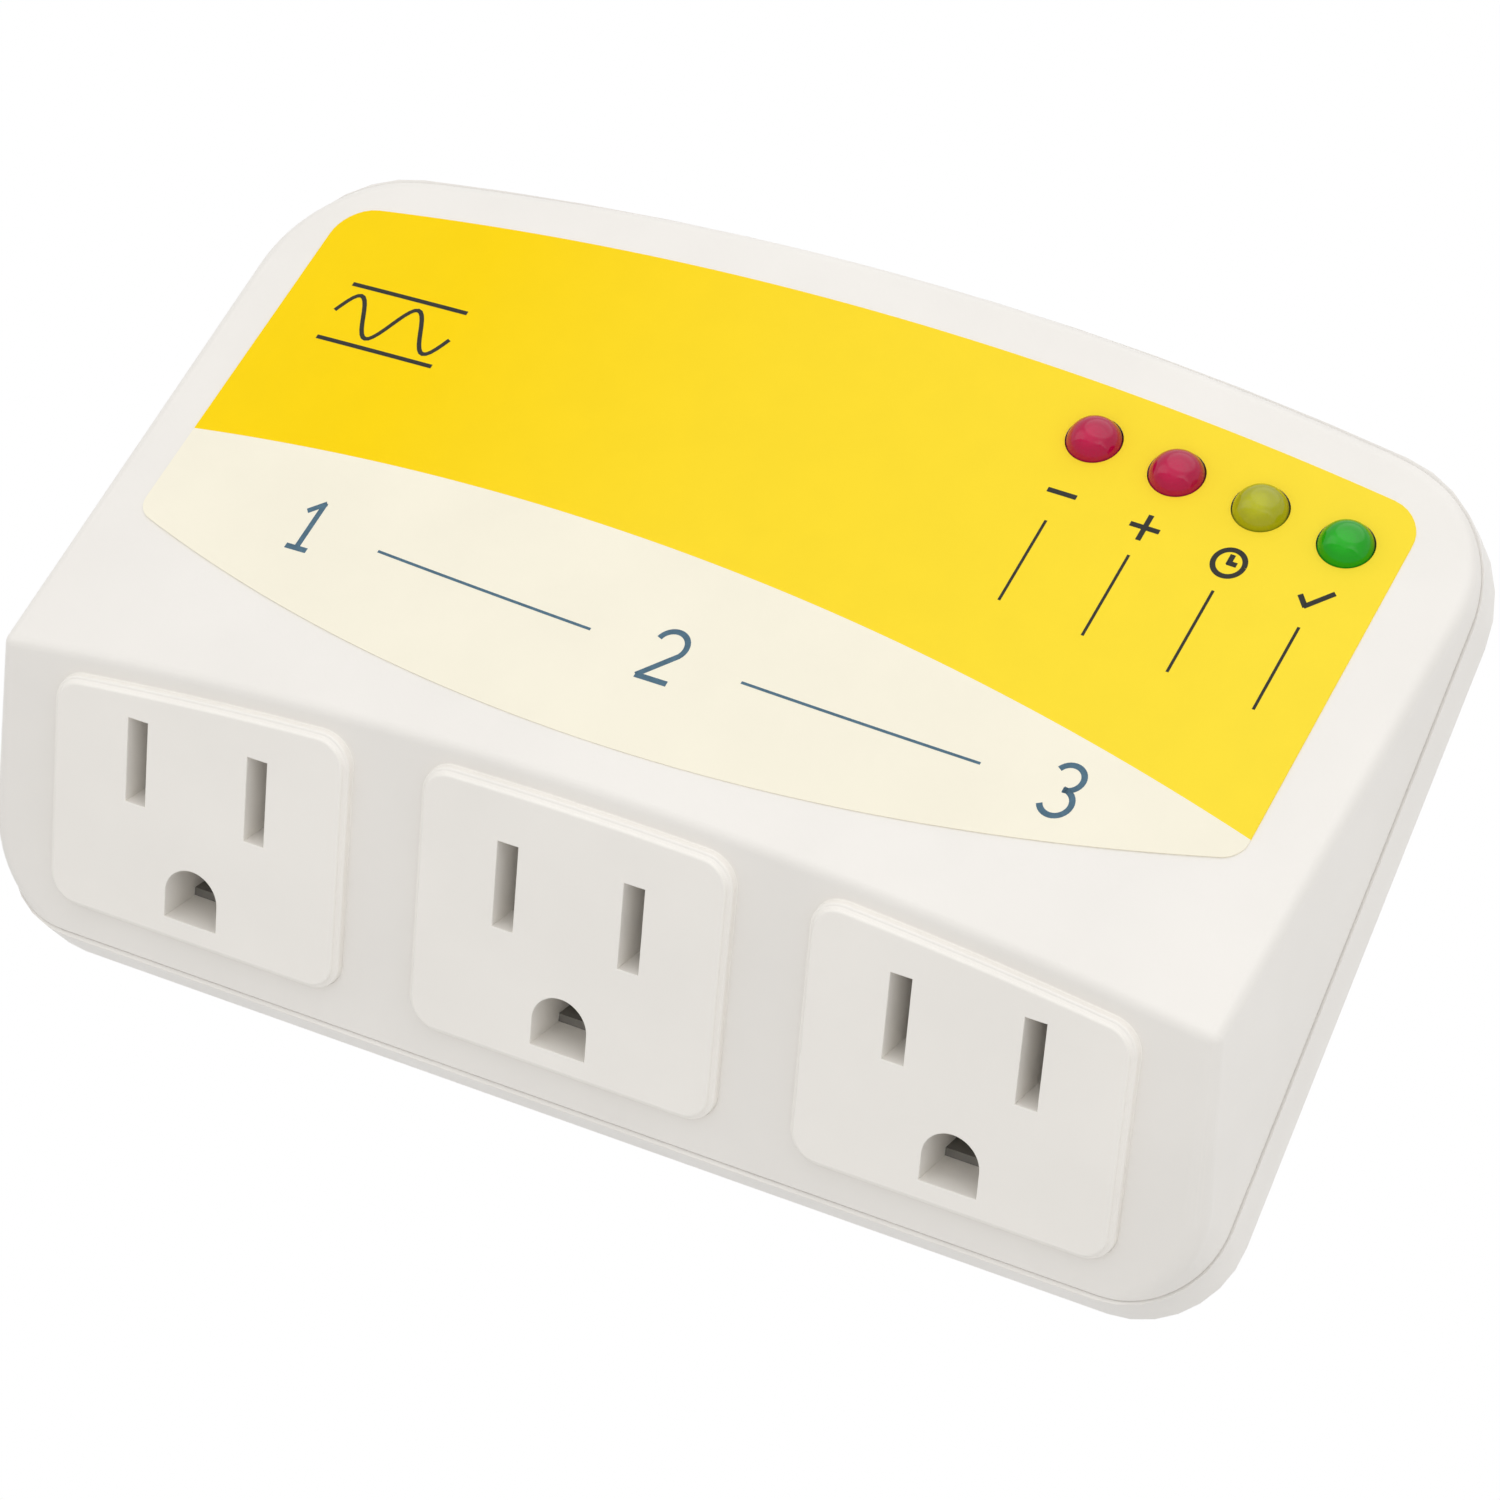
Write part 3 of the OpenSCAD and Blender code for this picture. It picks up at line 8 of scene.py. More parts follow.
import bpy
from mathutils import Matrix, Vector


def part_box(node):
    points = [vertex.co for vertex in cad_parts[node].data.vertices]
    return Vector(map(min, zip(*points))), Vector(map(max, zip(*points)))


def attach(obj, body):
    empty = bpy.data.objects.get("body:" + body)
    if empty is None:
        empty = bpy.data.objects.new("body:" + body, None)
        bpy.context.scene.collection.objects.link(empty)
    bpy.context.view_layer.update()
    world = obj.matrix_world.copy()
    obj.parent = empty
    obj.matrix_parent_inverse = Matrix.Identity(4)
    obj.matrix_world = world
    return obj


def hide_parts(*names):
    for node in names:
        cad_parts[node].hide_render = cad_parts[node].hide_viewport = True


bl_info = {
    "name": "Voltage Protector Builder",
    "version": (1, 0, 0),
    "blender": (4, 5, 0),
    "location": "View3D > Sidebar > Protector",
    "description": "Builds the looks of a plug-in voltage protector around its packed model",
    "category": "Object",
}

import math

import bmesh
import bpy
from bpy.props import FloatProperty, FloatVectorProperty, PointerProperty
from mathutils import Matrix, Vector

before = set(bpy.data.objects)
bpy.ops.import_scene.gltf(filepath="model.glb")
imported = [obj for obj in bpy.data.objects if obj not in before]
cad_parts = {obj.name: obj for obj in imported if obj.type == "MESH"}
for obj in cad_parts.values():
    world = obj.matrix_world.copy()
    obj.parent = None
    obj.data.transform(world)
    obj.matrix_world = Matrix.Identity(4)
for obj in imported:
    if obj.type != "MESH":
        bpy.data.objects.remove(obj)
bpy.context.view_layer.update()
CASE = "case"
MM = 0.001
OUTLET_SIDES = {"left": -1, "middle": 0, "right": 1}
TIN = (0.62, 0.61, 0.58)
FUSE_CAP = 0.27
LAMP_NODES = ("led_under_voltage", "led_over_voltage", "led_delay", "led_normal")
# Clearance between mating pieces, and how far a cutter stands past the surface that it cuts
FIT = 0.05 * MM
CLEAR = 3 * MM
CAMERA_AT = (0.20864, -0.47551, -0.12279)
CAMERA_BACK = Vector((0.39838, -0.89343, -0.20757))
CAMERA_RIGHT = Vector((0.87347, 0.30047, 0.38311))
KEY_AT = (0.26, -1.17, 0.52)
KEY_SIZE = 2.2
FLOOR_REACH = 2.5
# Place of the board's front along y, where the leads of its components begin
BOARD_FRONT = -8.05 * MM
# Softboxes as polished surfaces mirror them: direction, half angle, soft edge in degrees, strength
SOFTBOXES = (((0.078, -0.542, 0.837), 46.0, 3.0, 1.1), ((0.626, -0.659, -0.398), 27.0, 6.0, 1.0),
             ((-0.718, -0.696, -0.043), 22.0, 6.0, 1.0))


def size(name, description, millimetres, low=0.01, high=400.0):
    """A length that the user may change, given in millimetres and kept in metres."""
    return FloatProperty(name=name, description=description, default=millimetres * MM,
                         min=low * MM, max=high * MM, precision=5, unit="LENGTH")


def tint(name, description, colour):
    """A colour that the user may change, in linear values."""
    return FloatVectorProperty(name=name, description=description, default=colour, size=3,
                               min=0.0, max=1.0, subtype="COLOR")


def share(name, description, value, high=1.0):
    """A plain number that the user may change."""
    return FloatProperty(name=name, description=description, default=value, min=0.0, max=high)


def angle(name, description, degrees):
    """An angle that the user may change."""
    return FloatProperty(name=name, description=description, default=math.radians(degrees),
                         unit="ROTATION")


class HousingSettings(bpy.types.PropertyGroup):
    """Sizes and colour of the moulded housing."""

    width: size("Width", "Width of the front shell", 123.6)
    height: size("Height", "Height of the front shell at its middle", 82.6)
    wall: size("Wall", "Wall thickness of the front shell", 2.2)
    face_tilt: angle("Outlet tilt", "Tilt of the outlet wall from the wall behind", 42.4)
    face_rise: size("Outlet wall", "Length of the outlet wall up to the ridge", 31.8)
    far_edge_out: size("Far edge", "Height of the far edge over the seam", 1.9)
    front_arch: size("Front arch", "Radius of the arch of the labelled front", 525.0, 100, 2000)
    far_arch: size("Far arch", "Radius of the arched far edge", 350.0, 100, 2000)
    near_corner: size("Near corner", "Corner radius beside the outlets", 9.0)
    far_corner: size("Far corner", "Corner radius beside the far edge", 13.0)
    ridge_round: size("Ridge rounding", "Rounding of the ridge", 1.3)
    near_round: size("Near rounding", "Rounding of the outlet wall's other edges", 2.0)
    far_round: size("Far rounding", "Rounding of the far edge", 1.5)
    draft: angle("Draft", "Lean of the sides towards the front", 3.5)
    spread: size("Spread", "How far the sides spread at the seam, flush with the cover's rim", 0.15)
    inner_round: size("Inner rounding", "Rounding of the shell's inner edges", 0.6)
    seam_gap: size("Seam", "Open line between shell and cover", 0.2)
    cover_depth: size("Cover depth", "Depth of the back cover", 15.5)
    plug_up: size("Plug place", "Distance of the plug's centre up the case", 52.0)
    colour: tint("Colour", "Off-white of the mouldings", (0.86, 0.83, 0.785))


class OutletSettings(bpy.types.PropertyGroup):
    """Sizes and colour of the outlet plates."""

    slot_up: size("Slot line", "Slot line up the outlet wall from the seam", 20.45)
    pitch: size("Pitch", "Distance between outlets", 38.65)
    slot_pitch: size("Slot pitch", "Distance between the slots of an outlet", 12.7)
    slot_width: size("Slot width", "Width of a slot", 2.05)
    slot_height: size("Slot height", "Height of a slot", 8.4)
    ground_drop: size("Ground drop", "Slot line to the ground hole's centre", 11.9)
    ground_width: size("Ground width", "Width of the ground hole", 5.5)
    ground_flat: size("Ground side", "Straight side of the ground hole", 2.6)
    width: size("Plate width", "Width of a plate", 31.2)
    drop: size("Plate drop", "Slot line to the plate's lower edge", 16.9)
    rise: size("Plate rise", "Slot line to the plate's arched edge", 9.6)
    arch: size("Plate arch", "Radius of the plate's arched edge", 420.0, 100, 2000)
    corner: size("Plate corner", "Corner radius of a plate", 3.0)
    proud: size("Plate height", "How far a plate stands proud", 1.2)
    step: size("Plate step", "Step round a plate's face", 0.45)
    flange: size("Flange", "Width of the flange behind the wall", 1.2)
    flange_top: size("Upper flange", "Width of that flange along the arched edge", 0.35)
    flange_depth: size("Flange depth", "Thickness of that flange", 1.5)
    edge_round: size("Edge rounding", "Rounding of a plate's edges", 0.25)
    foot: size("Foot", "Soft foot where a plate meets the wall", 0.15)
    sleeve: size("Sleeve", "Length of the sleeve behind the ground hole", 2.0)
    sleeve_wall: size("Sleeve wall", "Wall of that sleeve", 0.9)
    slot_round: size("Slot rounding", "Rounding of the edges of the slots", 0.12)
    colour: tint("Colour", "Warm white of the plates", (0.918, 0.885, 0.832))


class LabelSettings(bpy.types.PropertyGroup):
    """Sizes and colours of the printed film."""

    half_width: size("Half width", "Half the width of the film", 55.6)
    shift: size("Shift", "How far the film sits left of the middle", 0.55)
    far: size("Far edge", "Far edge of the film from the seam", 77.7)
    far_arch: size("Far arch", "Radius of the film's far edge", 428.0, 100, 2000)
    near: size("Near edge", "Near edge of the film from the seam", 27.85)
    near_arch: size("Near arch", "Radius of the film's near edge", 176.0, 100, 2000)
    far_corner: size("Far corner", "Corner radius at the far edge", 3.3)
    near_corner: size("Near corner", "Corner radius at the near edge", 1.5)
    crest: size("Crest", "Crest of the line between the fields, from the seam", 48.7)
    crest_left: size("Crest place", "Distance of that crest left of the middle", 21.0)
    field_arch: size("Field arch", "Radius of the line between the fields", 296.0, 100, 2000)
    thickness: size("Thickness", "Thickness of the film", 0.3)
    recess: size("Recess", "Depth of the recess that holds the film", 0.2)
    ink: size("Ink", "Thickness of the printed marks", 0.02, 0.005, 0.1)
    mark_size: size("Mark", "Height of the marks below the lamps", 2.8)
    mark_drop: size("Mark place", "Drop from a lamp to its mark", 6.0)
    mark_line: size("Mark line", "Length of the line below a mark", 9.0)
    level_size: size("Level sign", "Height of the level sign", 6.5)
    level_left: size("Level sign, left", "Distance of the level sign left of the middle", 43.924)
    level_drop: size("Level sign, drop", "Drop from the film's far edge to the level sign", 15.0)
    number_size: size("Number", "Height of the outlet numbers", 5.2)
    stroke: size("Stroke", "Width of the printed strokes", 0.55)
    yellow_left: tint("Yellow, left", "Yellow at the left end", (1.0, 0.69, 0.0015))
    yellow_right: tint("Yellow, right", "Yellow at the right end", (1.0, 0.765, 0.045))
    cream: tint("Cream", "Field beside the outlets", (0.95, 0.90, 0.745))
    dark_ink: tint("Dark ink", "Marks beside the lamps", (0.035, 0.035, 0.03))
    blue_ink: tint("Blue ink", "Numbers over the outlets", (0.085, 0.16, 0.22))


class LampSettings(bpy.types.PropertyGroup):
    """Sizes and colours of the lamps."""

    first_x: size("First lamp", "First lamp from the middle", 24.7)
    first_up: size("Height of the first lamp", "First lamp up the case", 71.1)
    pitch: size("Pitch", "Distance between lamps across the case", 8.36)
    drop: size("Drop", "Drop from each lamp to the next", 0.82)
    diameter: size("Diameter", "Diameter of a dome", 5.2)
    proud: size("Proud", "How far a dome stands out", 2.0)
    length: size("Length", "From the flange to the top of the dome", 8.6)
    gap: size("Gap", "Clear ring round a lamp", 0.15)
    flange: size("Flange", "How far the flange stands out", 0.5)
    flange_depth: size("Flange depth", "Thickness of the flange", 1.0)
    crimson: tint("Crimson", "Fault lamps", (0.46, 0.002, 0.056))
    olive: tint("Olive", "Delay lamp", (0.405, 0.41, 0.004))
    green: tint("Green", "Normal lamp", (0.006, 0.37, 0.004))


class MetalSettings(bpy.types.PropertyGroup):
    """Colours of the metal pieces and of the nylon that carries them."""

    nickel: tint("Nickel", "Plating of the plug", (0.66, 0.64, 0.60))
    brass: tint("Brass", "Contact strips", (0.72, 0.50, 0.20))
    tin: tint("Tin", "Leads and clips", TIN)
    iron: tint("Iron", "Relay yoke, core and armature", (0.48, 0.48, 0.50))
    copper: tint("Copper", "Relay winding and contact", (0.62, 0.27, 0.12))
    zinc: tint("Zinc", "Screws", (0.60, 0.61, 0.62))
    nylon: tint("Nylon", "Contact carrier and blade retainer", (0.24, 0.23, 0.212))


class ElectronicsSettings(bpy.types.PropertyGroup):
    """Colours of the circuit board, what it carries and the wires."""

    laminate: tint("Laminate", "Circuit board", (0.27, 0.15, 0.035))
    black: tint("Black", "Black plastic and epoxy", (0.012, 0.012, 0.013))
    natural: tint("Natural", "Uncoloured plastic", (0.70, 0.69, 0.62))
    relay_blue: tint("Relay blue", "Case of the relay", (0.012, 0.05, 0.33))
    varistor: tint("Varistor blue", "Dipped coat of the varistors", (0.012, 0.085, 0.40))
    film: tint("Capacitor yellow", "Case of the film capacitor", (0.84, 0.55, 0.022))
    sleeve: tint("Sleeve", "Sleeve of the round capacitors", (0.012, 0.014, 0.04))
    green_enamel: tint("Green enamel", "Bleed resistor", (0.26, 0.39, 0.30))
    tan_enamel: tint("Tan enamel", "Small resistors", (0.60, 0.42, 0.20))
    glass: tint("Glass", "Tube of the fuse", (0.90, 0.92, 0.90))
    earth_green: tint("Green", "Insulation of the ground wire", (0.010, 0.17, 0.027))


class StageSettings(bpy.types.PropertyGroup):
    """Camera, floor and light."""

    lens: FloatProperty(name="Lens", description="Focal length in millimetres", default=138.0,
                        min=20.0, max=400.0)
    floor_drop: size("Floor", "Drop of the floor below the plug's centre", 500.0, 60, 2000)
    key_power: FloatProperty(name="Key light", description="Power of the top softbox in watts",
                             default=4.8, min=0.0)
    world_light: share("Ambient light", "Strength of the even light round the object", 0.83, 4.0)
    softbox: share("Softbox glow", "How much brighter than the backdrop the softboxes reflect", 1.0,
                   4.0)
    floor_colour: tint("Floor colour", "Colour of the pale floor", (0.82, 0.82, 0.82))


# Outlines


def arc(cx, cy, radius, start, end, steps):
    """Points of an arc, its angles in radians."""
    return [(cx + radius * math.cos(start + (end - start) * i / steps),
             cy + radius * math.sin(start + (end - start) * i / steps)) for i in range(steps + 1)]


def fillet(before, corner, after, radius, steps):
    """Points that round a corner of an outline."""
    if radius <= 0.0:
        return [tuple(corner)]
    b = Vector(corner)
    u, v = (Vector(before) - b).normalized(), (Vector(after) - b).normalized()
    half = u.angle(v) / 2
    middle = b + (u + v).normalized() * radius / math.sin(half)
    p, q = b + u * radius / math.tan(half) - middle, b + v * radius / math.tan(half) - middle
    start = math.atan2(p.y, p.x)
    turn = (math.atan2(q.y, q.x) - start + math.pi) % math.tau - math.pi
    return arc(middle.x, middle.y, radius, start, start + turn, steps)


def rounded(points, radii, steps=10):
    """Closed outline with a radius for each corner."""
    count = len(points)
    return [p for i in range(count)
            for p in fillet(points[i - 1], points[i], points[(i + 1) % count], radii[i], steps)]


def slerp(a, b, t):
    """Direction between two unit directions."""
    turn = a.angle(b)
    if turn < 1e-6:
        return a.copy()
    return (a * math.sin((1 - t) * turn) + b * math.sin(t * turn)) / math.sin(turn)


# Signs of the label: strokes round (0, 0), one unit high
MINUS = [[(-0.5, 0.0), (0.5, 0.0)]]
PLUS = MINUS + [[(0.0, -0.5), (0.0, 0.5)]]
CLOCK = [arc(0.0, 0.0, 0.5, 0.0, math.tau, 40), [(0.0, 0.33), (0.0, -0.06)],
         [(-0.06, 0.0), (0.26, 0.0)]]
TICK = [[(-0.48, 0.02), (-0.14, -0.36)], [(-0.2, -0.36), (0.5, 0.42)]]
ONE = [[(-0.24, 0.26), (0.03, 0.5)], [(0.0, 0.5), (0.0, -0.5)], [(-0.22, -0.5), (0.22, -0.5)]]
TWO = [arc(0.0, 0.22, 0.28, math.radians(165), math.radians(-35), 22)
       + [(-0.29, -0.5)], [(-0.3, -0.5), (0.31, -0.5)]]
THREE = [arc(-0.02, 0.255, 0.245, math.radians(155), math.radians(-90), 22),
         arc(-0.02, -0.235, 0.265, math.radians(90), math.radians(-155), 22)]
LEVELS = [[(i / 10 - 1.0, level) for i in range(21)] for level in (-0.5, 0.5)]
LEVELS += [[(i / 20 - 1.0, 0.34 * math.sin(2 * math.tau * i / 40)) for i in range(41)]]


class CaseForm:
    """The forms of the housing in the case frame, worked out from the settings."""

    def __init__(self, scene):
        self.h, self.o = scene.protector_housing, scene.protector_outlets
        self.f, self.lamps = scene.protector_label, scene.protector_lamps
        h = self.h
        self.c, self.s = math.cos(h.face_tilt), math.sin(h.face_tilt)
        self.ridge_up, self.ridge_out = h.face_rise * self.c, h.face_rise * self.s
        self.slope = math.atan((self.ridge_out - h.far_edge_out) / (h.height - self.ridge_up))
        self.far_centre = h.height - h.far_arch
        self.corner_x = h.width / 2 - h.far_corner
        reach = h.far_arch - h.far_corner
        self.corner_up = self.far_centre + math.sqrt(reach ** 2 - self.corner_x ** 2)
        self.corner_turn = math.atan2(self.corner_up - self.far_centre, self.corner_x)

    def place(self, point):
        """Point of the case frame in the part's frame."""
        x, y, z = point
        return Vector((x, -(z + self.h.cover_depth), y - self.h.plug_up))

    def outlet_place(self, point):
        """Point of the outlet frame in the part's frame."""
        x, y, z = point
        up = self.o.slot_up + y
        return self.place((x, up * self.c - z * self.s, up * self.s + z * self.c))

    def front_at(self, x, y, d=0.0):
        """Height of the labelled front over the seam plane, drawn d inside it."""
        reach = self.h.front_arch
        return (self.ridge_out - (y - self.ridge_up) * math.tan(self.slope)
                + (math.sqrt((reach - d) ** 2 - x * x) - reach) / math.cos(self.slope))

    def front_normal(self, x):
        """Outward direction of the labelled front."""
        across = math.asin(x / self.h.front_arch)
        return Vector((math.sin(across), math.cos(across) * math.sin(self.slope),
                       math.cos(across) * math.cos(self.slope)))

    def far_outline(self, d):
        """Far half of the seam outline with its outward directions, drawn d inside it."""
        h, turn = self.h, self.corner_turn
        for cx, cy, radius, start, end, steps in (
                (self.corner_x, self.corner_up, h.far_corner, 0.0, turn, 20),
                (0.0, self.far_centre, h.far_arch, turn, math.pi - turn, 48),
                (-self.corner_x, self.corner_up, h.far_corner, math.pi - turn, math.pi, 20)):
            for i in range(steps + 1):
                a = start + (end - start) * i / steps
                out = Vector((math.cos(a), math.sin(a), 0.0))
                yield Vector((cx, cy, 0.0)) + out * (radius - d), out

    def near_outline(self, d):
        """Near half of the seam outline with its outward directions, drawn d inside it."""
        x, radius = self.h.width / 2 - self.h.near_corner, self.h.near_corner
        for cx, start in ((-x, math.pi), (x, 1.5 * math.pi)):
            for i in range(19):
                a = start + math.pi / 2 * i / 18
                out = Vector((math.cos(a), math.sin(a), 0.0))
                yield Vector((cx, radius, 0.0)) + out * (radius - d), out

    def ridge_ball(self, x, q):
        """Centre of a ball that lies q inside both the outlet wall and the front."""
        y = (q + self.c * self.front_at(x, 0.0, q)) / (self.s + math.tan(self.slope) * self.c)
        return Vector((x, y, self.front_at(x, y, q)))

    def solid(self, d, ridge_round, far_round, near_round, spread=0.0):
        """Closed rounded form, d inside the housing's outside, as a bmesh in the part's frame."""
        wall = Vector((0.0, -self.s, self.c))
        points = []

        def lean(ball):
            """Draws a ball in, by the draft of the sides at its height."""
            inset = max(0.0, ball.z * math.tan(self.h.draft) - self.h.spread)
            ball.x *= 1.0 - inset / (self.h.width / 2)
            return ball

        q = d + ridge_round
        balls, turns, wraps = 24, 14, 10
        for i in range(-balls, balls + 1):
            x = i / balls * (self.h.width / 2 - q)
            ball = lean(self.ridge_ball(x, q))
            rims = [slerp(wall, self.front_normal(x), j / turns) for j in range(turns + 1)]
            points += [ball + rim * ridge_round for rim in rims]
            if abs(i) == balls:
                side = Vector((math.copysign(1.0, i), 0.0, 0.0))
                points += [ball + slerp(rim, side, k / wraps) * ridge_round
                           for rim in rims for k in range(1, wraps + 1)]
        for p, out in self.far_outline(d + far_round):
            ball = lean(Vector((p.x, p.y, self.front_at(p.x, p.y, d + far_round))))
            points += [ball + slerp(out, self.front_normal(p.x), j / 12) * far_round
                       for j in range(13)]
        for p, out in self.near_outline(d + near_round):
            ball = lean(Vector((p.x, p.y, (p.y * self.s - d - near_round) / self.c)))
            points += [ball + slerp(out, wall, j / 8) * near_round for j in range(9)]
        low = ((d + near_round) * self.s - d - near_round) / self.c - near_round
        points += [Vector((p.x, p.y, z)) for z in (low, 0.0)
                   for p, _ in (*self.near_outline(d - spread), *self.far_outline(d - spread))]
        return hull([self.place(p) for p in points])

    def plate_outline(self, x, grow, up):
        """Outline of an outlet plate in the outlet frame, grown on its sides and on its arch."""
        o = self.o
        half, low, radius = o.width / 2 + grow, -o.drop - grow, o.corner + grow

        def top(at):
            reach = o.arch + up
            return math.sqrt(reach ** 2 - at ** 2) - o.arch + o.rise

        inside = half - 1.3 * radius
        places = (half, *(inside * i / 6 for i in range(6, -7, -1)), -half)
        crown = [(x + at, top(x + at)) for at in places]
        return rounded([(x - half, low), (x + half, low), *crown],
                       [radius, radius, radius, *[0.0] * 13, radius])

    def label_edges(self, grow, steps=72):
        """Near and far edge of the printed film as functions of x, and the x values to draw."""
        f = self.f
        half = f.half_width + grow

        def chain(sign, at, reach, corner):
            def edge(x):
                return at + sign * (math.sqrt(reach ** 2 - x ** 2) - reach)
            corners = [edge(x) for x in (half, half - corner)]
            run = math.atan2(sign * (corners[0] - corners[1]), corner)

            def rounded_edge(x):
                x += f.shift
                inside = half - corner
                if abs(x) <= inside:
                    return edge(x)
                into = abs(x) - inside
                fall = corner - math.sqrt(max(0.0, corner ** 2 - into ** 2))
                return edge(x) - sign * fall * math.cos(run)
            return rounded_edge

        near = chain(-1.0, f.near - grow, f.near_arch + grow, f.near_corner + grow)
        far = chain(1.0, f.far + grow, f.far_arch + grow, f.far_corner + grow)
        xs = [half * math.sin(math.pi / 2 * (2 * i / steps - 1)) - f.shift
              for i in range(steps + 1)]
        return near, far, xs

    def field_edge(self, x):
        """Line between the cream and the yellow field."""
        f = self.f
        return f.crest + math.sqrt(f.field_arch ** 2 - (x + f.crest_left) ** 2) - f.field_arch

    def sheet(self, near, far, xs, low, high, middle=None):
        """Closed sheet over the front between two edges, its faces past the middle marked 1."""
        mesh = bmesh.new()
        edges = [near, far] if middle is None else [near, middle, far]
        rows = []
        for x in xs:
            ys = [edge(x) for edge in edges]
            rows.append([[mesh.verts.new(self.place((x, y, self.front_at(x, y) + z))) for y in ys]
                         for z in (low, high)])
        last = len(edges) - 1
        for a, b in zip(rows, rows[1:]):
            for j in range(last):
                for level in (0, 1):
                    p, q = a[level], b[level]
                    mesh.faces.new((p[j], q[j], q[j + 1], p[j + 1])).material_index = j
            for j in (0, last):
                side = mesh.faces.new((a[0][j], b[0][j], b[1][j], a[1][j]))
                side.material_index = min(j, last - 1)
        for low_row, high_row in (rows[0], rows[-1]):
            for j in range(last):
                end = mesh.faces.new((low_row[j], low_row[j + 1], high_row[j + 1], high_row[j]))
                end.material_index = j
        return mesh

    def lamp_at(self, i):
        """Centre of a lamp across and up the case, and the height of its dome's top."""
        x, y = self.lamps.first_x + i * self.lamps.pitch, self.lamps.first_up - i * self.lamps.drop
        return x, y, self.front_at(x, y) + self.lamps.proud

    def dome_place(self, i):
        """Function that places points of a frame in a dome's centre, its z square to the front."""
        x, y, top = self.lamp_at(i)
        out = self.front_normal(x)
        across = out.cross(Vector((1.0, 0.0, 0.0)).cross(out)).normalized()
        up = out.cross(across)
        middle = Vector((x, y, top - self.lamps.diameter / 2))
        return lambda p: self.place(middle + across * p[0] + up * p[1] + out * p[2])


# Materials


class Nodes:
    """Short way to lay out the node tree of one material."""

    def __init__(self, name):
        self.material = bpy.data.materials.new(name)
        self.material.use_nodes = True
        self.tree = self.material.node_tree
        self.shader = self.tree.nodes["Principled BSDF"]

    def add(self, kind, links=(), **values):
        node = self.tree.nodes.new("ShaderNode" + kind)
        for key, value in values.items():
            setattr(node, key, value)
        for socket, source in links:
            if hasattr(source, "is_output"):
                self.tree.links.new(source, node.inputs[socket])
            else:
                node.inputs[socket].default_value = source
        return node

    def plug(self, source, socket):
        self.tree.links.new(source, self.shader.inputs[socket])

    def place(self, stretch=(1.0, 1.0, 1.0)):
        """The object's own coordinates in metres, stretched for grain that runs one way."""
        coordinates = self.add("TexCoord").outputs["Object"]
        return self.add("Mapping", [("Vector", coordinates), ("Scale", stretch)]).outputs[0]

    def noise(self, vector, scale, detail=3.0):
        return self.add("TexNoise", [("Vector", vector), ("Scale", scale),
                                     ("Detail", detail)]).outputs[0]

    def ramp(self, factor, stops):
        node = self.add("ValToRGB", [("Fac", factor)])
        ramp = node.color_ramp
        while len(ramp.elements) < len(stops):
            ramp.elements.new(0.5)
        for element, (position, colour) in zip(ramp.elements, stops):
            element.position = position
            element.color = (*colour, 1.0)
        return node.outputs["Color"]

    def tone(self, vector, scale, colour, darker, lighter, detail=3.0, between=(0.3, 0.7)):
        """The colour in soft patches, darker or lighter by shares of itself."""
        return self.ramp(self.noise(vector, scale, detail), [(between[0], shade(colour, darker)),
                                                            (between[1], shade(colour, lighter))])

    def finish(self, colour, roughness, normal):
        """Gives the shader its colour, roughness and relief."""
        self.plug(colour, "Base Color")
        self.plug(roughness, "Roughness")
        self.plug(normal, "Normal")

    def set(self, **values):
        """Plain values of the shader's own sockets, their names with _ for each space."""
        for name, value in values.items():
            self.shader.inputs[name.replace("_", " ")].default_value = value

    def along(self, vector, axis):
        """One coordinate of a place."""
        return self.add("SeparateXYZ", [("Vector", vector)]).outputs[axis]

    def step(self, value, at, half):
        """0 to 1 as a value passes a place, over half a width on each side."""
        return self.add("MapRange", [("Value", value), ("From Min", at - half),
                                     ("From Max", at + half)]).outputs[0]

    def mix(self, factor, a, b, blend="MIX"):
        """Blend of two colours."""
        node = self.add("Mix", data_type="RGBA", blend_type=blend)
        for socket, source in (("Factor", factor), ("A", a), ("B", b)):
            if hasattr(source, "is_output"):
                self.tree.links.new(source, node.inputs[socket])
            else:
                node.inputs[socket].default_value = source if socket == "Factor" else (*source, 1.0)
        return node.outputs["Result"]

    def spread(self, factor, low, high):
        return self.add("MapRange", [("Value", factor), ("From Min", 0.3), ("From Max", 0.7),
                                     ("To Min", low), ("To Max", high)]).outputs[0]

    def bump(self, height, depth):
        return self.add("Bump", [("Height", height), ("Strength", 1.0),
                                 ("Distance", depth)]).outputs[0]


def shade(colour, by):
    """The colour, lighter or darker by a share."""
    return tuple(min(1.0, max(0.0, c * (1.0 + by))) for c in colour)


def moulded(name, colour, roughness, mottle=0.015, grain=4000.0, depth=0.004, coat=0.0):
    """Moulded plastic: faint flow marks in its colour and a fine spark-eroded grain."""
    n = Nodes(name)
    place = n.place()
    n.finish(n.tone(place, 60.0, colour, -mottle, mottle, between=(0.35, 0.65)),
             n.spread(n.noise(place, 260.0), roughness - 0.04, roughness + 0.04),
             n.bump(n.noise(place, grain, 2.0), depth * MM))
    n.set(Coat_Weight=coat, Coat_Roughness=0.12, IOR=1.48)
    return n.material


def metal(name, colour, roughness, stretch=(1.0, 1.0, 1.0), grain=1500.0, depth=0.006):
    """Rolled, drawn or plated metal, with its grain along one direction and a little tarnish."""
    n = Nodes(name)
    grains = n.noise(n.place(stretch), grain, 4.0)
    n.finish(n.tone(n.place(), 180.0, colour, -0.12, 0.05, 5.0),
             n.spread(grains, roughness - 0.07, roughness + 0.1), n.bump(grains, depth * MM))
    n.set(Metallic=1.0)
    return n.material


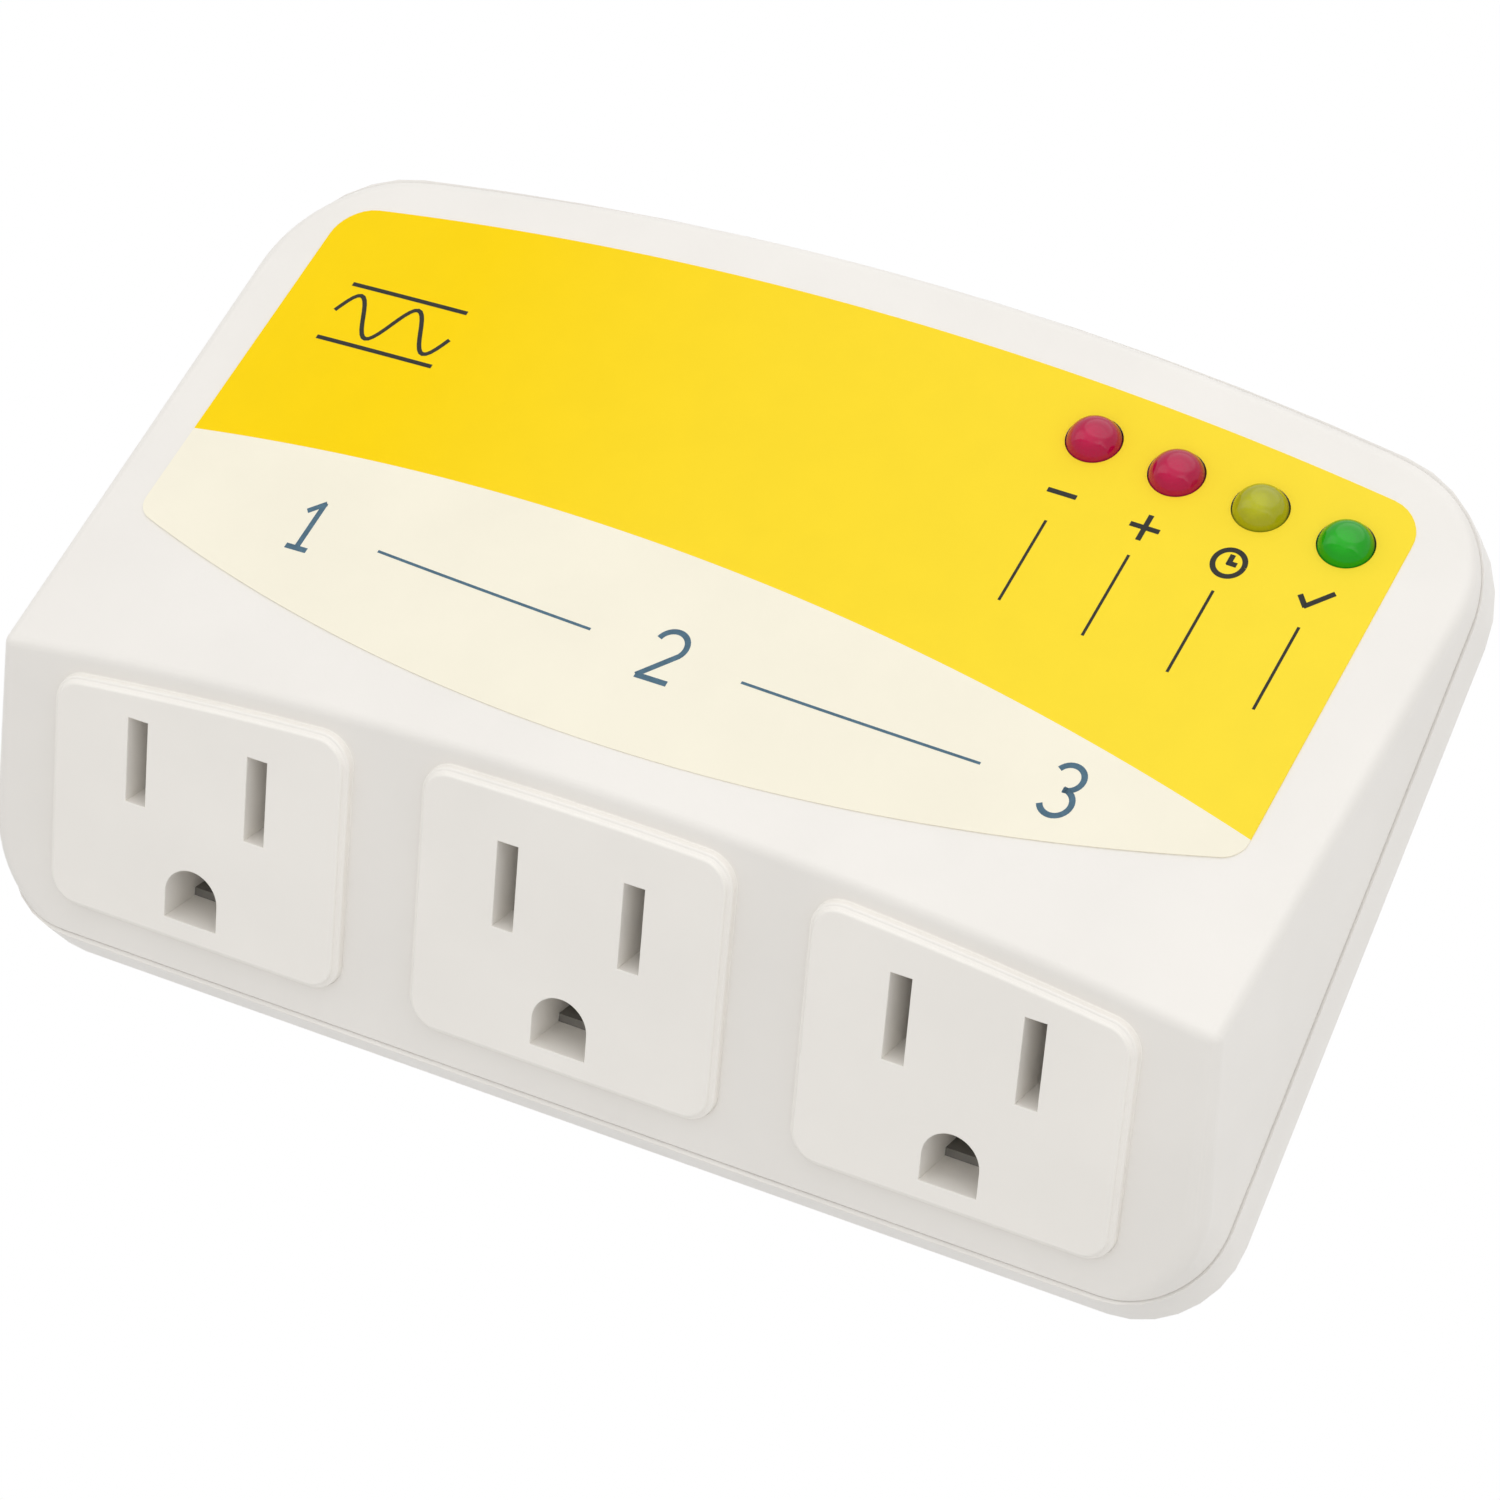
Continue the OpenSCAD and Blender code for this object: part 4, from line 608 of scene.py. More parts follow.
def dress(material, *nodes):
    """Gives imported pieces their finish."""
    for name in nodes:
        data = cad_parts[name].data
        data.materials.clear()
        data.materials.append(material)


# Meshes


def hull(points):
    """Convex form round the points."""
    mesh = bmesh.new()
    for point in points:
        mesh.verts.new(point)
    bmesh.ops.remove_doubles(mesh, verts=mesh.verts, dist=1e-7)
    made = bmesh.ops.convex_hull(mesh, input=mesh.verts)
    spare = {v for v in (*made["geom_interior"], *made["geom_unused"])
             if isinstance(v, bmesh.types.BMVert)}
    bmesh.ops.delete(mesh, geom=list(spare), context="VERTS")
    bmesh.ops.dissolve_limit(mesh, angle_limit=1e-4, verts=mesh.verts, edges=mesh.edges)
    return mesh


def prism(outline, low, high, place):
    """Closed prism on an outline, put where place says."""
    mesh = bmesh.new()
    rings = [[mesh.verts.new(place((x, y, z))) for x, y in outline] for z in (low, high)]
    mesh.faces.new(rings[0])
    mesh.faces.new(rings[1])
    for i in range(len(outline)):
        mesh.faces.new((rings[0][i - 1], rings[0][i], rings[1][i], rings[1][i - 1]))
    bmesh.ops.recalc_face_normals(mesh, faces=mesh.faces)
    return mesh


def stack(rings, place):
    """Closed form through rings of points of equal count, capped at both ends."""
    mesh = bmesh.new()
    made = [[mesh.verts.new(place(p)) for p in ring] for ring in rings]
    mesh.faces.new(made[0])
    mesh.faces.new(made[-1])
    for a, b in zip(made, made[1:]):
        for i in range(len(a)):
            mesh.faces.new((a[i - 1], a[i], b[i], b[i - 1]))
    bmesh.ops.recalc_face_normals(mesh, faces=mesh.faces)
    return mesh


def circle(x, y, radius, steps=48):
    """Outline of a circle."""
    return arc(x, y, radius, 0.0, math.tau, steps)[:-1]


def carve(body, cutters, union=False):
    """Takes the cutters out of a mesh, or joins them to it, and frees them all."""
    def held(mesh, name):
        data = bpy.data.meshes.new(name)
        bmesh.ops.recalc_face_normals(mesh, faces=mesh.faces)
        mesh.to_mesh(data)
        mesh.free()
        made = bpy.data.objects.new(name, data)
        bpy.context.scene.collection.objects.link(made)
        return made

    main_body = held(body, "carved")
    tools = [held(cutter, "cutter") for cutter in cutters]
    for tool in tools:
        cut = main_body.modifiers.new("cut", "BOOLEAN")
        cut.operation = "UNION" if union else "DIFFERENCE"
        cut.solver = "EXACT"
        cut.object = tool
    bpy.context.view_layer.update()
    done = main_body.evaluated_get(bpy.context.evaluated_depsgraph_get())
    mesh = bmesh.new()
    mesh.from_mesh(done.to_mesh())
    done.to_mesh_clear()
    for made in (main_body, *tools):
        data = made.data
        bpy.data.objects.remove(made)
        bpy.data.meshes.remove(data)
    return mesh


def round_edges(mesh, chosen, width, steps=2):
    """Rounds the chosen edges of a mesh."""
    edges = [e for e in mesh.edges if chosen(e)]
    if edges:
        bmesh.ops.bevel(mesh, geom=edges, offset=width, offset_type="OFFSET", segments=steps,
                        profile=0.5, affect="EDGES", clamp_overlap=True)
    return mesh


def lathe(profile, place, steps=64):
    """Closed form turned round z through points (radius, height), with a fan at each end."""
    mesh = stack([[(*at, z) for at in circle(0.0, 0.0, r, steps)] for r, z in profile], place)
    bmesh.ops.poke(mesh, faces=[face for face in mesh.faces if len(face.verts) == steps])
    return mesh


def ribbon(mesh, points, width, lay):
    """Adds a printed stroke along points; lay puts a point with its level, 0 or 1, on the film."""
    rows = []
    for i, point in enumerate(points):
        before, after = points[max(i - 1, 0)], points[min(i + 1, len(points) - 1)]
        run = (Vector(after) - Vector(before)).normalized()
        side = Vector((-run.y, run.x)) * width / 2
        left, right = Vector(point) + side, Vector(point) - side
        rows.append([mesh.verts.new(lay(*at, level)) for at, level in
                     ((left, 0), (right, 0), (right, 1), (left, 1))])
    for a, b in zip(rows, rows[1:]):
        for i in range(4):
            mesh.faces.new((a[i - 1], a[i], b[i], b[i - 1]))
    mesh.faces.new(rows[0])
    mesh.faces.new(rows[-1])


def piece(name, mesh, material, *stands_for, body=CASE, slot=None):
    """Object from a bmesh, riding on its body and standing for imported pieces."""
    if not mesh.faces:
        raise RuntimeError(name + " came out empty")
    data = bpy.data.meshes.new(name)
    bmesh.ops.recalc_face_normals(mesh, faces=mesh.faces)
    mesh.to_mesh(data)
    mesh.free()
    data.materials.append(material)
    made = bpy.data.objects.new(name, data)
    bpy.context.scene.collection.objects.link(made)
    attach(made, body)
    if stands_for:
        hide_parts(*stands_for)
    return made


def level_shading(made):
    """Lets the large faces set the shading, so that flat ones stay flat."""
    weigh = made.modifiers.new("Even light", "WEIGHTED_NORMAL")
    weigh.keep_sharp, weigh.weight = True, 80


def soften(made, sharp=32.0):
    """Smooth shading that keeps flat faces flat and edges over the angle crisp."""
    made.data.polygons.foreach_set("use_smooth", [True] * len(made.data.polygons))
    made.data.set_sharp_from_angle(angle=math.radians(sharp))
    level_shading(made)


def even(made, sharp=32.0):
    """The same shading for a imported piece, whose mesh stays as it is: modifiers only."""
    group = bpy.data.node_groups.new("Joined and smooth", "GeometryNodeTree")
    group.interface.new_socket("Geometry", in_out="INPUT", socket_type="NodeSocketGeometry")
    group.interface.new_socket("Geometry", in_out="OUTPUT", socket_type="NodeSocketGeometry")
    entry, leave = group.nodes.new("NodeGroupInput"), group.nodes.new("NodeGroupOutput")
    weld = group.nodes.new("GeometryNodeMergeByDistance")
    weld.inputs["Distance"].default_value = 1e-6
    smooth = group.nodes.new("GeometryNodeSetShadeSmooth")
    store = group.nodes.new("GeometryNodeStoreNamedAttribute")
    store.data_type, store.domain = "BOOLEAN", "EDGE"
    store.inputs["Name"].default_value = "sharp_edge"
    bend = group.nodes.new("GeometryNodeInputMeshEdgeAngle")
    test = group.nodes.new("FunctionNodeCompare")
    test.operation = "GREATER_THAN"
    test.inputs["B"].default_value = math.radians(sharp)
    join = group.links.new
    join(entry.outputs[0], weld.inputs["Geometry"])
    join(weld.outputs["Geometry"], smooth.inputs["Geometry"])
    join(smooth.outputs["Geometry"], store.inputs["Geometry"])
    join(bend.outputs["Unsigned Angle"], test.inputs["A"])
    join(test.outputs["Result"], store.inputs["Value"])
    join(store.outputs["Geometry"], leave.inputs[0])
    made.modifiers.new("Joined", "NODES").node_group = group
    level_shading(made)


class Builder:
    """Common part of the operators."""

    bl_options = {"REGISTER", "UNDO"}


class PROTECTOR_OT_stage(Builder, bpy.types.Operator):
    """Set up the photograph's camera, the pale floor and soft studio light"""

    bl_idname = "protector.stage"
    bl_label = "Stage"

    def execute(self, context):
        s = context.scene.protector_stage
        camera = bpy.data.objects.new("Camera", bpy.data.cameras.new("Camera"))
        camera.data.lens = s.lens
        camera.data.sensor_width = 36.0
        camera.data.clip_start, camera.data.clip_end = 0.05, 20.0
        turn = Matrix((CAMERA_RIGHT, CAMERA_BACK.cross(CAMERA_RIGHT), CAMERA_BACK)).transposed()
        camera.matrix_world = Matrix.Translation(CAMERA_AT) @ turn.to_4x4()
        context.scene.collection.objects.link(camera)
        context.scene.camera = camera
        context.scene.view_settings.view_transform = "Standard"
        self.floor(context, s)
        self.light(context, s)
        return {"FINISHED"}

    def floor(self, context, s):
        mesh = bmesh.new()
        bmesh.ops.create_grid(mesh, x_segments=8, y_segments=8, size=FLOOR_REACH)
        data = bpy.data.meshes.new("floor")
        mesh.to_mesh(data)
        mesh.free()
        floor = bpy.data.objects.new("floor", data)
        floor.location = (0.0, 0.0, -s.floor_drop)
        n = Nodes("Pale floor")
        n.plug(n.tone(n.place(), 6.0, s.floor_colour, -0.01, 0.0, between=(0.4, 0.6)), "Base Color")
        n.set(Roughness=0.9)
        data.materials.append(n.material)
        context.scene.collection.objects.link(floor)

    def light(self, context, s):
        world = bpy.data.worlds.new("Studio")
        world.use_nodes = True
        context.scene.world = world
        tree = world.node_tree
        for node in list(tree.nodes):
            tree.nodes.remove(node)

        def node(kind, operation=None, *links):
            made = tree.nodes.new("ShaderNode" + kind)
            if operation:
                made.operation = operation
            for socket, source in enumerate(links):
                if hasattr(source, "is_output"):
                    tree.links.new(source, made.inputs[socket])
                else:
                    made.inputs[socket].default_value = source
            return made

        path = node("LightPath").outputs
        mirrored = node("Math", "MAXIMUM", path["Is Glossy Ray"],
                        path["Is Transmission Ray"]).outputs[0]
        seen = node("Math", "MAXIMUM", path["Is Camera Ray"], mirrored).outputs[0]
        toward = node("TexCoord").outputs["Generated"]
        glow = 1.0
        for direction, reach, edge, strength in SOFTBOXES:
            lean = node("VectorMath", "DOT_PRODUCT", toward, direction).outputs["Value"]
            lit = node("MapRange", None, lean, math.cos(math.radians(reach + edge)),
                       math.cos(math.radians(reach - edge)), 0.0, strength * s.softbox).outputs[0]
            extra = node("Math", "MULTIPLY", lit, mirrored).outputs[0]
            glow = node("Math", "ADD", glow, extra).outputs[0]
        colour = (1.0, 1.0, 1.0, 1.0)
        ambient = node("Background", None, colour, s.world_light).outputs[0]
        white = node("Background", None, colour, glow).outputs[0]
        sky = node("MixShader", None, seen, ambient, white).outputs[0]
        node("OutputWorld", None, sky)
        lamp = bpy.data.lights.new("Key", "AREA")
        lamp.shape, lamp.size, lamp.energy = "DISK", KEY_SIZE, s.key_power
        held = bpy.data.objects.new("Key", lamp)
        held.location = KEY_AT
        held.rotation_mode = "QUATERNION"
        held.rotation_quaternion = (-held.location).to_track_quat("-Z", "Y")
        context.scene.collection.objects.link(held)


class PROTECTOR_OT_housing(Builder, bpy.types.Operator):
    """Mould the front shell with its openings, and finish the back cover"""

    bl_idname = "protector.housing"
    bl_label = "Housing"

    def execute(self, context):
        form = CaseForm(context.scene)
        h, o, f, lamps = form.h, form.o, form.f, form.lamps
        outer = form.solid(0.0, h.ridge_round, h.far_round, h.near_round, h.spread)
        inner = form.solid(h.wall, h.inner_round, h.inner_round, h.inner_round)
        span = h.width
        below = prism([(-span, -span), (span, -span), (span, span), (-span, span)],
                      -span, h.seam_gap, form.place)
        openings = [prism(form.plate_outline(side * o.pitch, FIT, FIT),
                          -h.wall - o.flange_depth, CLEAR, form.outlet_place)
                    for side in OUTLET_SIDES.values()]
        near, far, xs = form.label_edges(FIT)
        recess = form.sheet(near, far, xs, -f.recess, CLEAR)
        holes = [prism(circle(*form.lamp_at(i)[:2], lamps.diameter / 2 + lamps.gap), 0.0, h.height,
                       form.place) for i in range(len(LAMP_NODES))]
        white = moulded("Housing white", h.colour, 0.38)
        mesh = carve(outer, [inner, below, *openings, recess, *holes])
        soften(piece("housing_front", mesh, white, "front_shell", slot="housing_white"))
        dress(white, "back_cover")
        even(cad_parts["back_cover"])
        return {"FINISHED"}


class PROTECTOR_OT_outlets(Builder, bpy.types.Operator):
    """Mould the three outlet plates with their slots and ground holes"""

    bl_idname = "protector.outlets"
    bl_label = "Outlet plates"

    def execute(self, context):
        form = CaseForm(context.scene)
        ivory = moulded("Outlet plate", form.o.colour, 0.36)
        for name, side in OUTLET_SIDES.items():
            self.plate(form, name, side * form.o.pitch, ivory)
        return {"FINISHED"}

    def plate(self, form, name, x, ivory):
        h, o = form.h, form.o
        seat = -h.wall - FIT
        back = seat - o.flange_depth
        ledge, r = o.proud - o.step, o.edge_round
        turns = [i / 5 * math.pi / 2 for i in range(6)]
        sections = [(o.flange, o.flange_top, back), (o.flange, o.flange_top, seat),
                    (FIT, FIT, seat), (FIT, FIT, 0.0)]
        sections += [(o.foot * (1 - math.sin(a)), None, o.foot * (1 - math.cos(a))) for a in turns]
        sections += [(-r * (1 - math.cos(a)), None, ledge - r * (1 - math.sin(a))) for a in turns]
        sections += [(-o.step - r * (1 - math.cos(a)), None, o.proud - r * (1 - math.sin(a)))
                     for a in turns]
        rings = [[(px, py, z) for px, py in form.plate_outline(x, grow, grow if up is None else up)]
                 for grow, up, z in sections]
        half, tall = o.slot_width / 2, o.slot_height / 2
        cuts = []
        for side in (-1, 1):
            cx = x + side * o.slot_pitch / 2
            cuts.append([(cx - half, -tall), (cx + half, -tall),
                         (cx + half, tall), (cx - half, tall)])

        def ground_hole(grow):
            at, reach = -o.ground_drop, o.ground_width / 2 + grow
            foot = at - o.ground_flat - grow
            return [(x + reach, foot), *arc(x, at, reach, 0.0, math.pi, 32), (x - reach, foot)]

        cuts.append(ground_hole(0.0))
        sleeve = prism(ground_hole(o.sleeve_wall), back - o.sleeve, seat, form.outlet_place)
        whole = carve(stack(rings, form.outlet_place), [sleeve], union=True)
        mesh = carve(whole, [prism(cut, back - o.sleeve - CLEAR, o.proud + CLEAR, form.outlet_place)
                             for cut in cuts])
        out = (form.outlet_place((0, 0, 1)) - form.outlet_place((0, 0, 0))).normalized()
        level = form.outlet_place((0, 0, o.proud)).dot(out)

        def at_slot(edge):
            flat = all(abs(v.co.dot(out) - level) < 1e-6 for v in edge.verts)
            return flat and len(edge.link_faces) == 2 and edge.calc_face_angle(0.0) > 1.2

        round_edges(mesh, at_slot, o.slot_round)
        soften(piece("outlet_plate_" + name, mesh, ivory, "receptacle_face_" + name,
                     slot="outlet_plate"))


class PROTECTOR_OT_label(Builder, bpy.types.Operator):
    """Lay the printed film with its two fields and its plain marks"""

    bl_idname = "protector.label"
    bl_label = "Printed film"

    def execute(self, context):
        form = CaseForm(context.scene)
        f, lamps = form.f, form.lamps
        near, far, xs = form.label_edges(FIT)
        film = form.sheet(near, far, xs, -f.recess, f.thickness - f.recess, form.field_edge)
        holes = [prism(circle(0.0, 0.0, lamps.diameter / 2 + 0.03 * MM), 0.0, lamps.diameter,
                       form.dome_place(i)) for i in range(len(LAMP_NODES))]
        made = piece("printed_film", carve(film, holes), self.cream(f), "label",
                     slot="printed_film")
        made.data.materials.append(self.yellow(f))
        soften(made)
        self.marks(form)
        return {"FINISHED"}

    def cream(self, f):
        n = Nodes("Cream print")
        n.plug(n.tone(n.place(), 90.0, f.cream, -0.012, 0.012, between=(0.35, 0.65)), "Base Color")
        return self.satin(n)

    def yellow(self, f):
        """Yellow that grows paler from left to right."""
        n = Nodes("Yellow print")
        place = n.place()
        run = n.step(n.along(place, "X"), 0.0, f.half_width)
        middle = tuple((a + b) / 2 for a, b in zip(f.yellow_left, f.yellow_right))
        field = n.ramp(run, [(0.15, tuple(f.yellow_left)), (0.45, middle),
                             (0.95, tuple(f.yellow_right))])
        mottle = n.tone(place, 220.0, (1.0,) * 3, -0.015, 0.0, 4.0, (0.35, 0.65))
        n.plug(n.mix(1.0, field, mottle, "MULTIPLY"), "Base Color")
        return self.satin(n)

    def satin(self, n):
        """Faint orange peel of a screen-printed film."""
        place = n.place()
        n.plug(n.spread(n.noise(place, 500.0), 0.40, 0.48), "Roughness")
        n.plug(n.bump(n.noise(place, 2500.0, 2.0), 0.003 * MM), "Normal")
        n.set(Specular_IOR_Level=0.07)
        return n.material

    def ink(self, name, colour):
        """Screen ink with a slightly broken edge of tone."""
        n = Nodes(name)
        n.plug(n.tone(n.place(), 1800.0, colour, -0.1, 0.15, 4.0), "Base Color")
        return self.satin(n)

    def marks(self, form):
        """Plain signs below the lamps, a level sign at the left, and numbers for the outlets."""
        f = form.f
        low = f.thickness - f.recess - f.ink / 2

        def lay(x, y, level):
            return form.place((x, y, form.front_at(x, y) + low + level * f.ink))

        def draw(mesh, sign, x, y, height, width):
            for path in sign:
                ribbon(mesh, [(x + px * height, y + py * height) for px, py in path], width, lay)

        dark = bmesh.new()
        for i, sign in enumerate((MINUS, PLUS, CLOCK, TICK)):
            x, y, _ = form.lamp_at(i)
            y -= f.mark_drop
            draw(dark, sign, x, y, f.mark_size, 0.9 * f.stroke)
            top = y - 1.1 * f.mark_size
            ribbon(dark, [(x, top - f.mark_line * j / 4) for j in range(5)], 0.5 * f.stroke, lay)
        draw(dark, LEVELS, -f.level_left, f.far - f.level_drop, f.level_size, 0.8 * f.stroke)
        piece("signs_dark", dark, self.ink("Dark ink", f.dark_ink), slot="printed_film")

        blue = bmesh.new()
        near = form.label_edges(0.0)[0]
        pitch = form.o.pitch

        def middle(x):
            return (near(x) + form.field_edge(x)) / 2

        for i, sign in enumerate((ONE, TWO, THREE)):
            x = (i - 1) * pitch
            draw(blue, sign, x, middle(x), f.number_size, f.stroke)
        for start in (-pitch, 0.0):
            xs = [start + pitch * (0.2 + 0.6 * j / 14) for j in range(15)]
            ribbon(blue, [(x, middle(x)) for x in xs], 0.5 * f.stroke, lay)
        piece("numbers_blue", blue, self.ink("Blue ink", f.blue_ink), slot="printed_film")


class PROTECTOR_OT_lamps(Builder, bpy.types.Operator):
    """Cast the four domed lamps"""

    bl_idname = "protector.lamps"
    bl_label = "Lamps"

    def execute(self, context):
        form = CaseForm(context.scene)
        s = form.lamps
        slots = ("lens_crimson", "lens_crimson", "lens_olive", "lens_green")
        # Direction of the domes' painted light: out of the face, leaning down the case
        painted_light_toward = form.dome_place(0)((0, -0.34, 0.94)) - form.dome_place(0)((0, 0, 0))
        epoxy = {slot: self.epoxy(slot, colour, painted_light_toward) for slot, colour in
                 (("lens_crimson", s.crimson), ("lens_olive", s.olive), ("lens_green", s.green))}
        r = s.diameter / 2
        for i, (node, slot) in enumerate(zip(LAMP_NODES, slots)):
            x, y, top = form.lamp_at(i)
            foot = top - s.length
            rim = r + s.flange
            bevel, crease, shelf = 0.1 * MM, 0.05 * MM, foot + s.flange_depth
            profile = [(rim - bevel, foot), (rim, foot + bevel), (rim, shelf - bevel),
                       (rim - bevel, shelf), (r + crease, shelf), (r, shelf + crease)]
            profile += [(r * math.cos(a), top - r + r * math.sin(a))
                        for a in (math.pi / 2 * j / 20 for j in range(20))]
            mesh = lathe(profile, lambda p, x=x, y=y: form.place((x + p[0], y + p[1], p[2])))
            name = "lamp_" + node.removeprefix("led_")
            soften(piece(name, mesh, epoxy[slot], node, slot=slot), 50.0)
        return {"FINISHED"}

    def epoxy(self, name, colour, painted_light_toward):
        """Tinted epoxy with a little haze, with painted shade round its foot and painted light on
        its lower front.
        """
        n = Nodes("Epoxy " + name)
        place = n.place()
        painted_light_facing = n.add("VectorMath", [(0, n.add("TexCoord").outputs["Normal"]), (1, tuple(painted_light_toward))],
                       operation="DOT_PRODUCT").outputs["Value"]
        # Painted shade darkens the rim facing away from that direction, painted light brightens the
        # side facing it
        body = n.ramp(painted_light_facing, [(0.12, shade(colour, -0.75)), (0.32, shade(colour, -0.14)),
                               (0.85, tuple(colour)), (1.0, shade(colour, 0.2))])
        haze = n.tone(place, 700.0, (1.0,) * 3, -0.06, 0.0, 2.0)
        n.plug(n.mix(1.0, body, haze, "MULTIPLY"), "Base Color")
        n.plug(n.spread(n.noise(place, 900.0), 0.06, 0.1), "Roughness")
        n.set(Specular_IOR_Level=0.3)
        return n.material


class PROTECTOR_OT_plug(Builder, bpy.types.Operator):
    """Plate the blades and the ground pin, and mould their retainer"""

    bl_idname = "protector.plug"
    bl_label = "Plug"

    def execute(self, context):
        m = context.scene.protector_metals
        plated = metal("Plated brass", m.nickel, 0.2, (1.0, 0.06, 1.0), 2600.0, 0.003)
        dress(plated, "line_blade", "neutral_blade", "ground_pin")
        dress(moulded("Retainer nylon", m.nylon, 0.5, 0.06, 2600.0, 0.012), "blade_retainer")
        return {"FINISHED"}


class PROTECTOR_OT_contacts(Builder, bpy.types.Operator):
    """Finish the contact strips behind the outlets and their carrier"""

    bl_idname = "protector.contacts"
    bl_label = "Contacts"

    def execute(self, context):
        m = context.scene.protector_metals
        brass = metal("Rolled brass", m.brass, 0.28, (0.08, 1.0, 1.0), 2200.0)
        dress(brass, "line_bus", "neutral_bus", "ground_bus")
        dress(moulded("Carrier nylon", m.nylon, 0.52, 0.08, 2200.0, 0.015), "contact_carrier")
        return {"FINISHED"}


class PROTECTOR_OT_board(Builder, bpy.types.Operator):
    """Finish the circuit board with the lamps' leads and spacers and the fuse clips"""

    bl_idname = "protector.board"
    bl_label = "Circuit board"

    def execute(self, context):
        m, e = context.scene.protector_metals, context.scene.protector_electronics
        dress(self.laminate(e.laminate), "circuit_board")
        tin = metal("Tinned lead", m.tin, 0.3, (1.0, 0.1, 1.0), 1800.0)
        dress(tin, "led_leads", "fuse_clips", "relay_terminals")
        dress(moulded("Spacer plastic", e.black, 0.45, 0.1), "led_spacers")
        return {"FINISHED"}

    def laminate(self, colour):
        """Resin-bonded weave with darker flecks."""
        n = Nodes("Board laminate")
        place = n.place()
        fleck = n.ramp(n.noise(place, 420.0, 6.0), [(0.35, shade(colour, -0.22)),
                                                   (0.55, colour), (0.75, shade(colour, 0.12))])
        weave = [n.add("TexWave", [("Vector", place), ("Scale", 420.0), ("Distortion", 0.6)],
                       bands_direction=axis).outputs["Fac"] for axis in ("X", "Z")]
        cloth = n.add("Math", [(0, weave[0]), (1, weave[1])], operation="MULTIPLY").outputs[0]
        n.finish(n.mix(0.25, fleck, n.ramp(cloth, [(0.1, shade(colour, -0.3)), (0.9, colour)])),
                 n.spread(cloth, 0.34, 0.44), n.bump(cloth, 0.012 * MM))
        return n.material


class PROTECTOR_OT_relay(Builder, bpy.types.Operator):
    """Finish the relay: case, base, coil on its bobbin, iron parts and contacts"""

    bl_idname = "protector.relay"
    bl_label = "Relay"

    def execute(self, context):
        m, e = context.scene.protector_metals, context.scene.protector_electronics
        dress(moulded("Relay case", e.relay_blue, 0.22, 0.05, 1500.0, 0.006, 0.6), "relay_case")
        dress(moulded("Relay base", e.black, 0.42, 0.1), "relay_base")
        dress(moulded("Bobbin nylon", e.natural, 0.4, 0.04, 1800.0, 0.01), "relay_bobbin")
        iron = metal("Annealed iron", m.iron, 0.36, (1.0, 0.12, 1.0), 1400.0, 0.01)
        dress(iron, "relay_yoke", "relay_core", "relay_armature")
        dress(metal("Contact copper", m.copper, 0.24, (0.15, 1.0, 1.0)), "relay_moving_contact")
        dress(metal("Contact brass", m.brass, 0.26, (1.0, 0.15, 1.0)), "relay_fixed_contact",
              "relay_stop")
        dress(self.winding(m.copper), "relay_coil")
        return {"FINISHED"}

    def winding(self, colour):
        """Enamelled wire lying turn by turn along the coil, with painted shade between the turns
        and a painted highlight on each.
        """
        n = Nodes("Copper winding")
        place = n.place()
        turns = n.add("TexWave", [("Vector", place), ("Scale", 1400.0), ("Distortion", 0.25)],
                      bands_direction="Y").outputs["Fac"]
        # Painted shade in the grooves between the turns, painted highlight on their crowns
        lit = [(0.05, shade(colour, -0.6)), (0.5, colour), (1.0, shade(colour, 0.15))]
        n.finish(n.ramp(turns, lit), n.spread(n.noise(place, 900.0), 0.22, 0.36),
                 n.bump(turns, 0.06 * MM))
        n.set(Metallic=0.85, Coat_Weight=0.4)
        return n.material


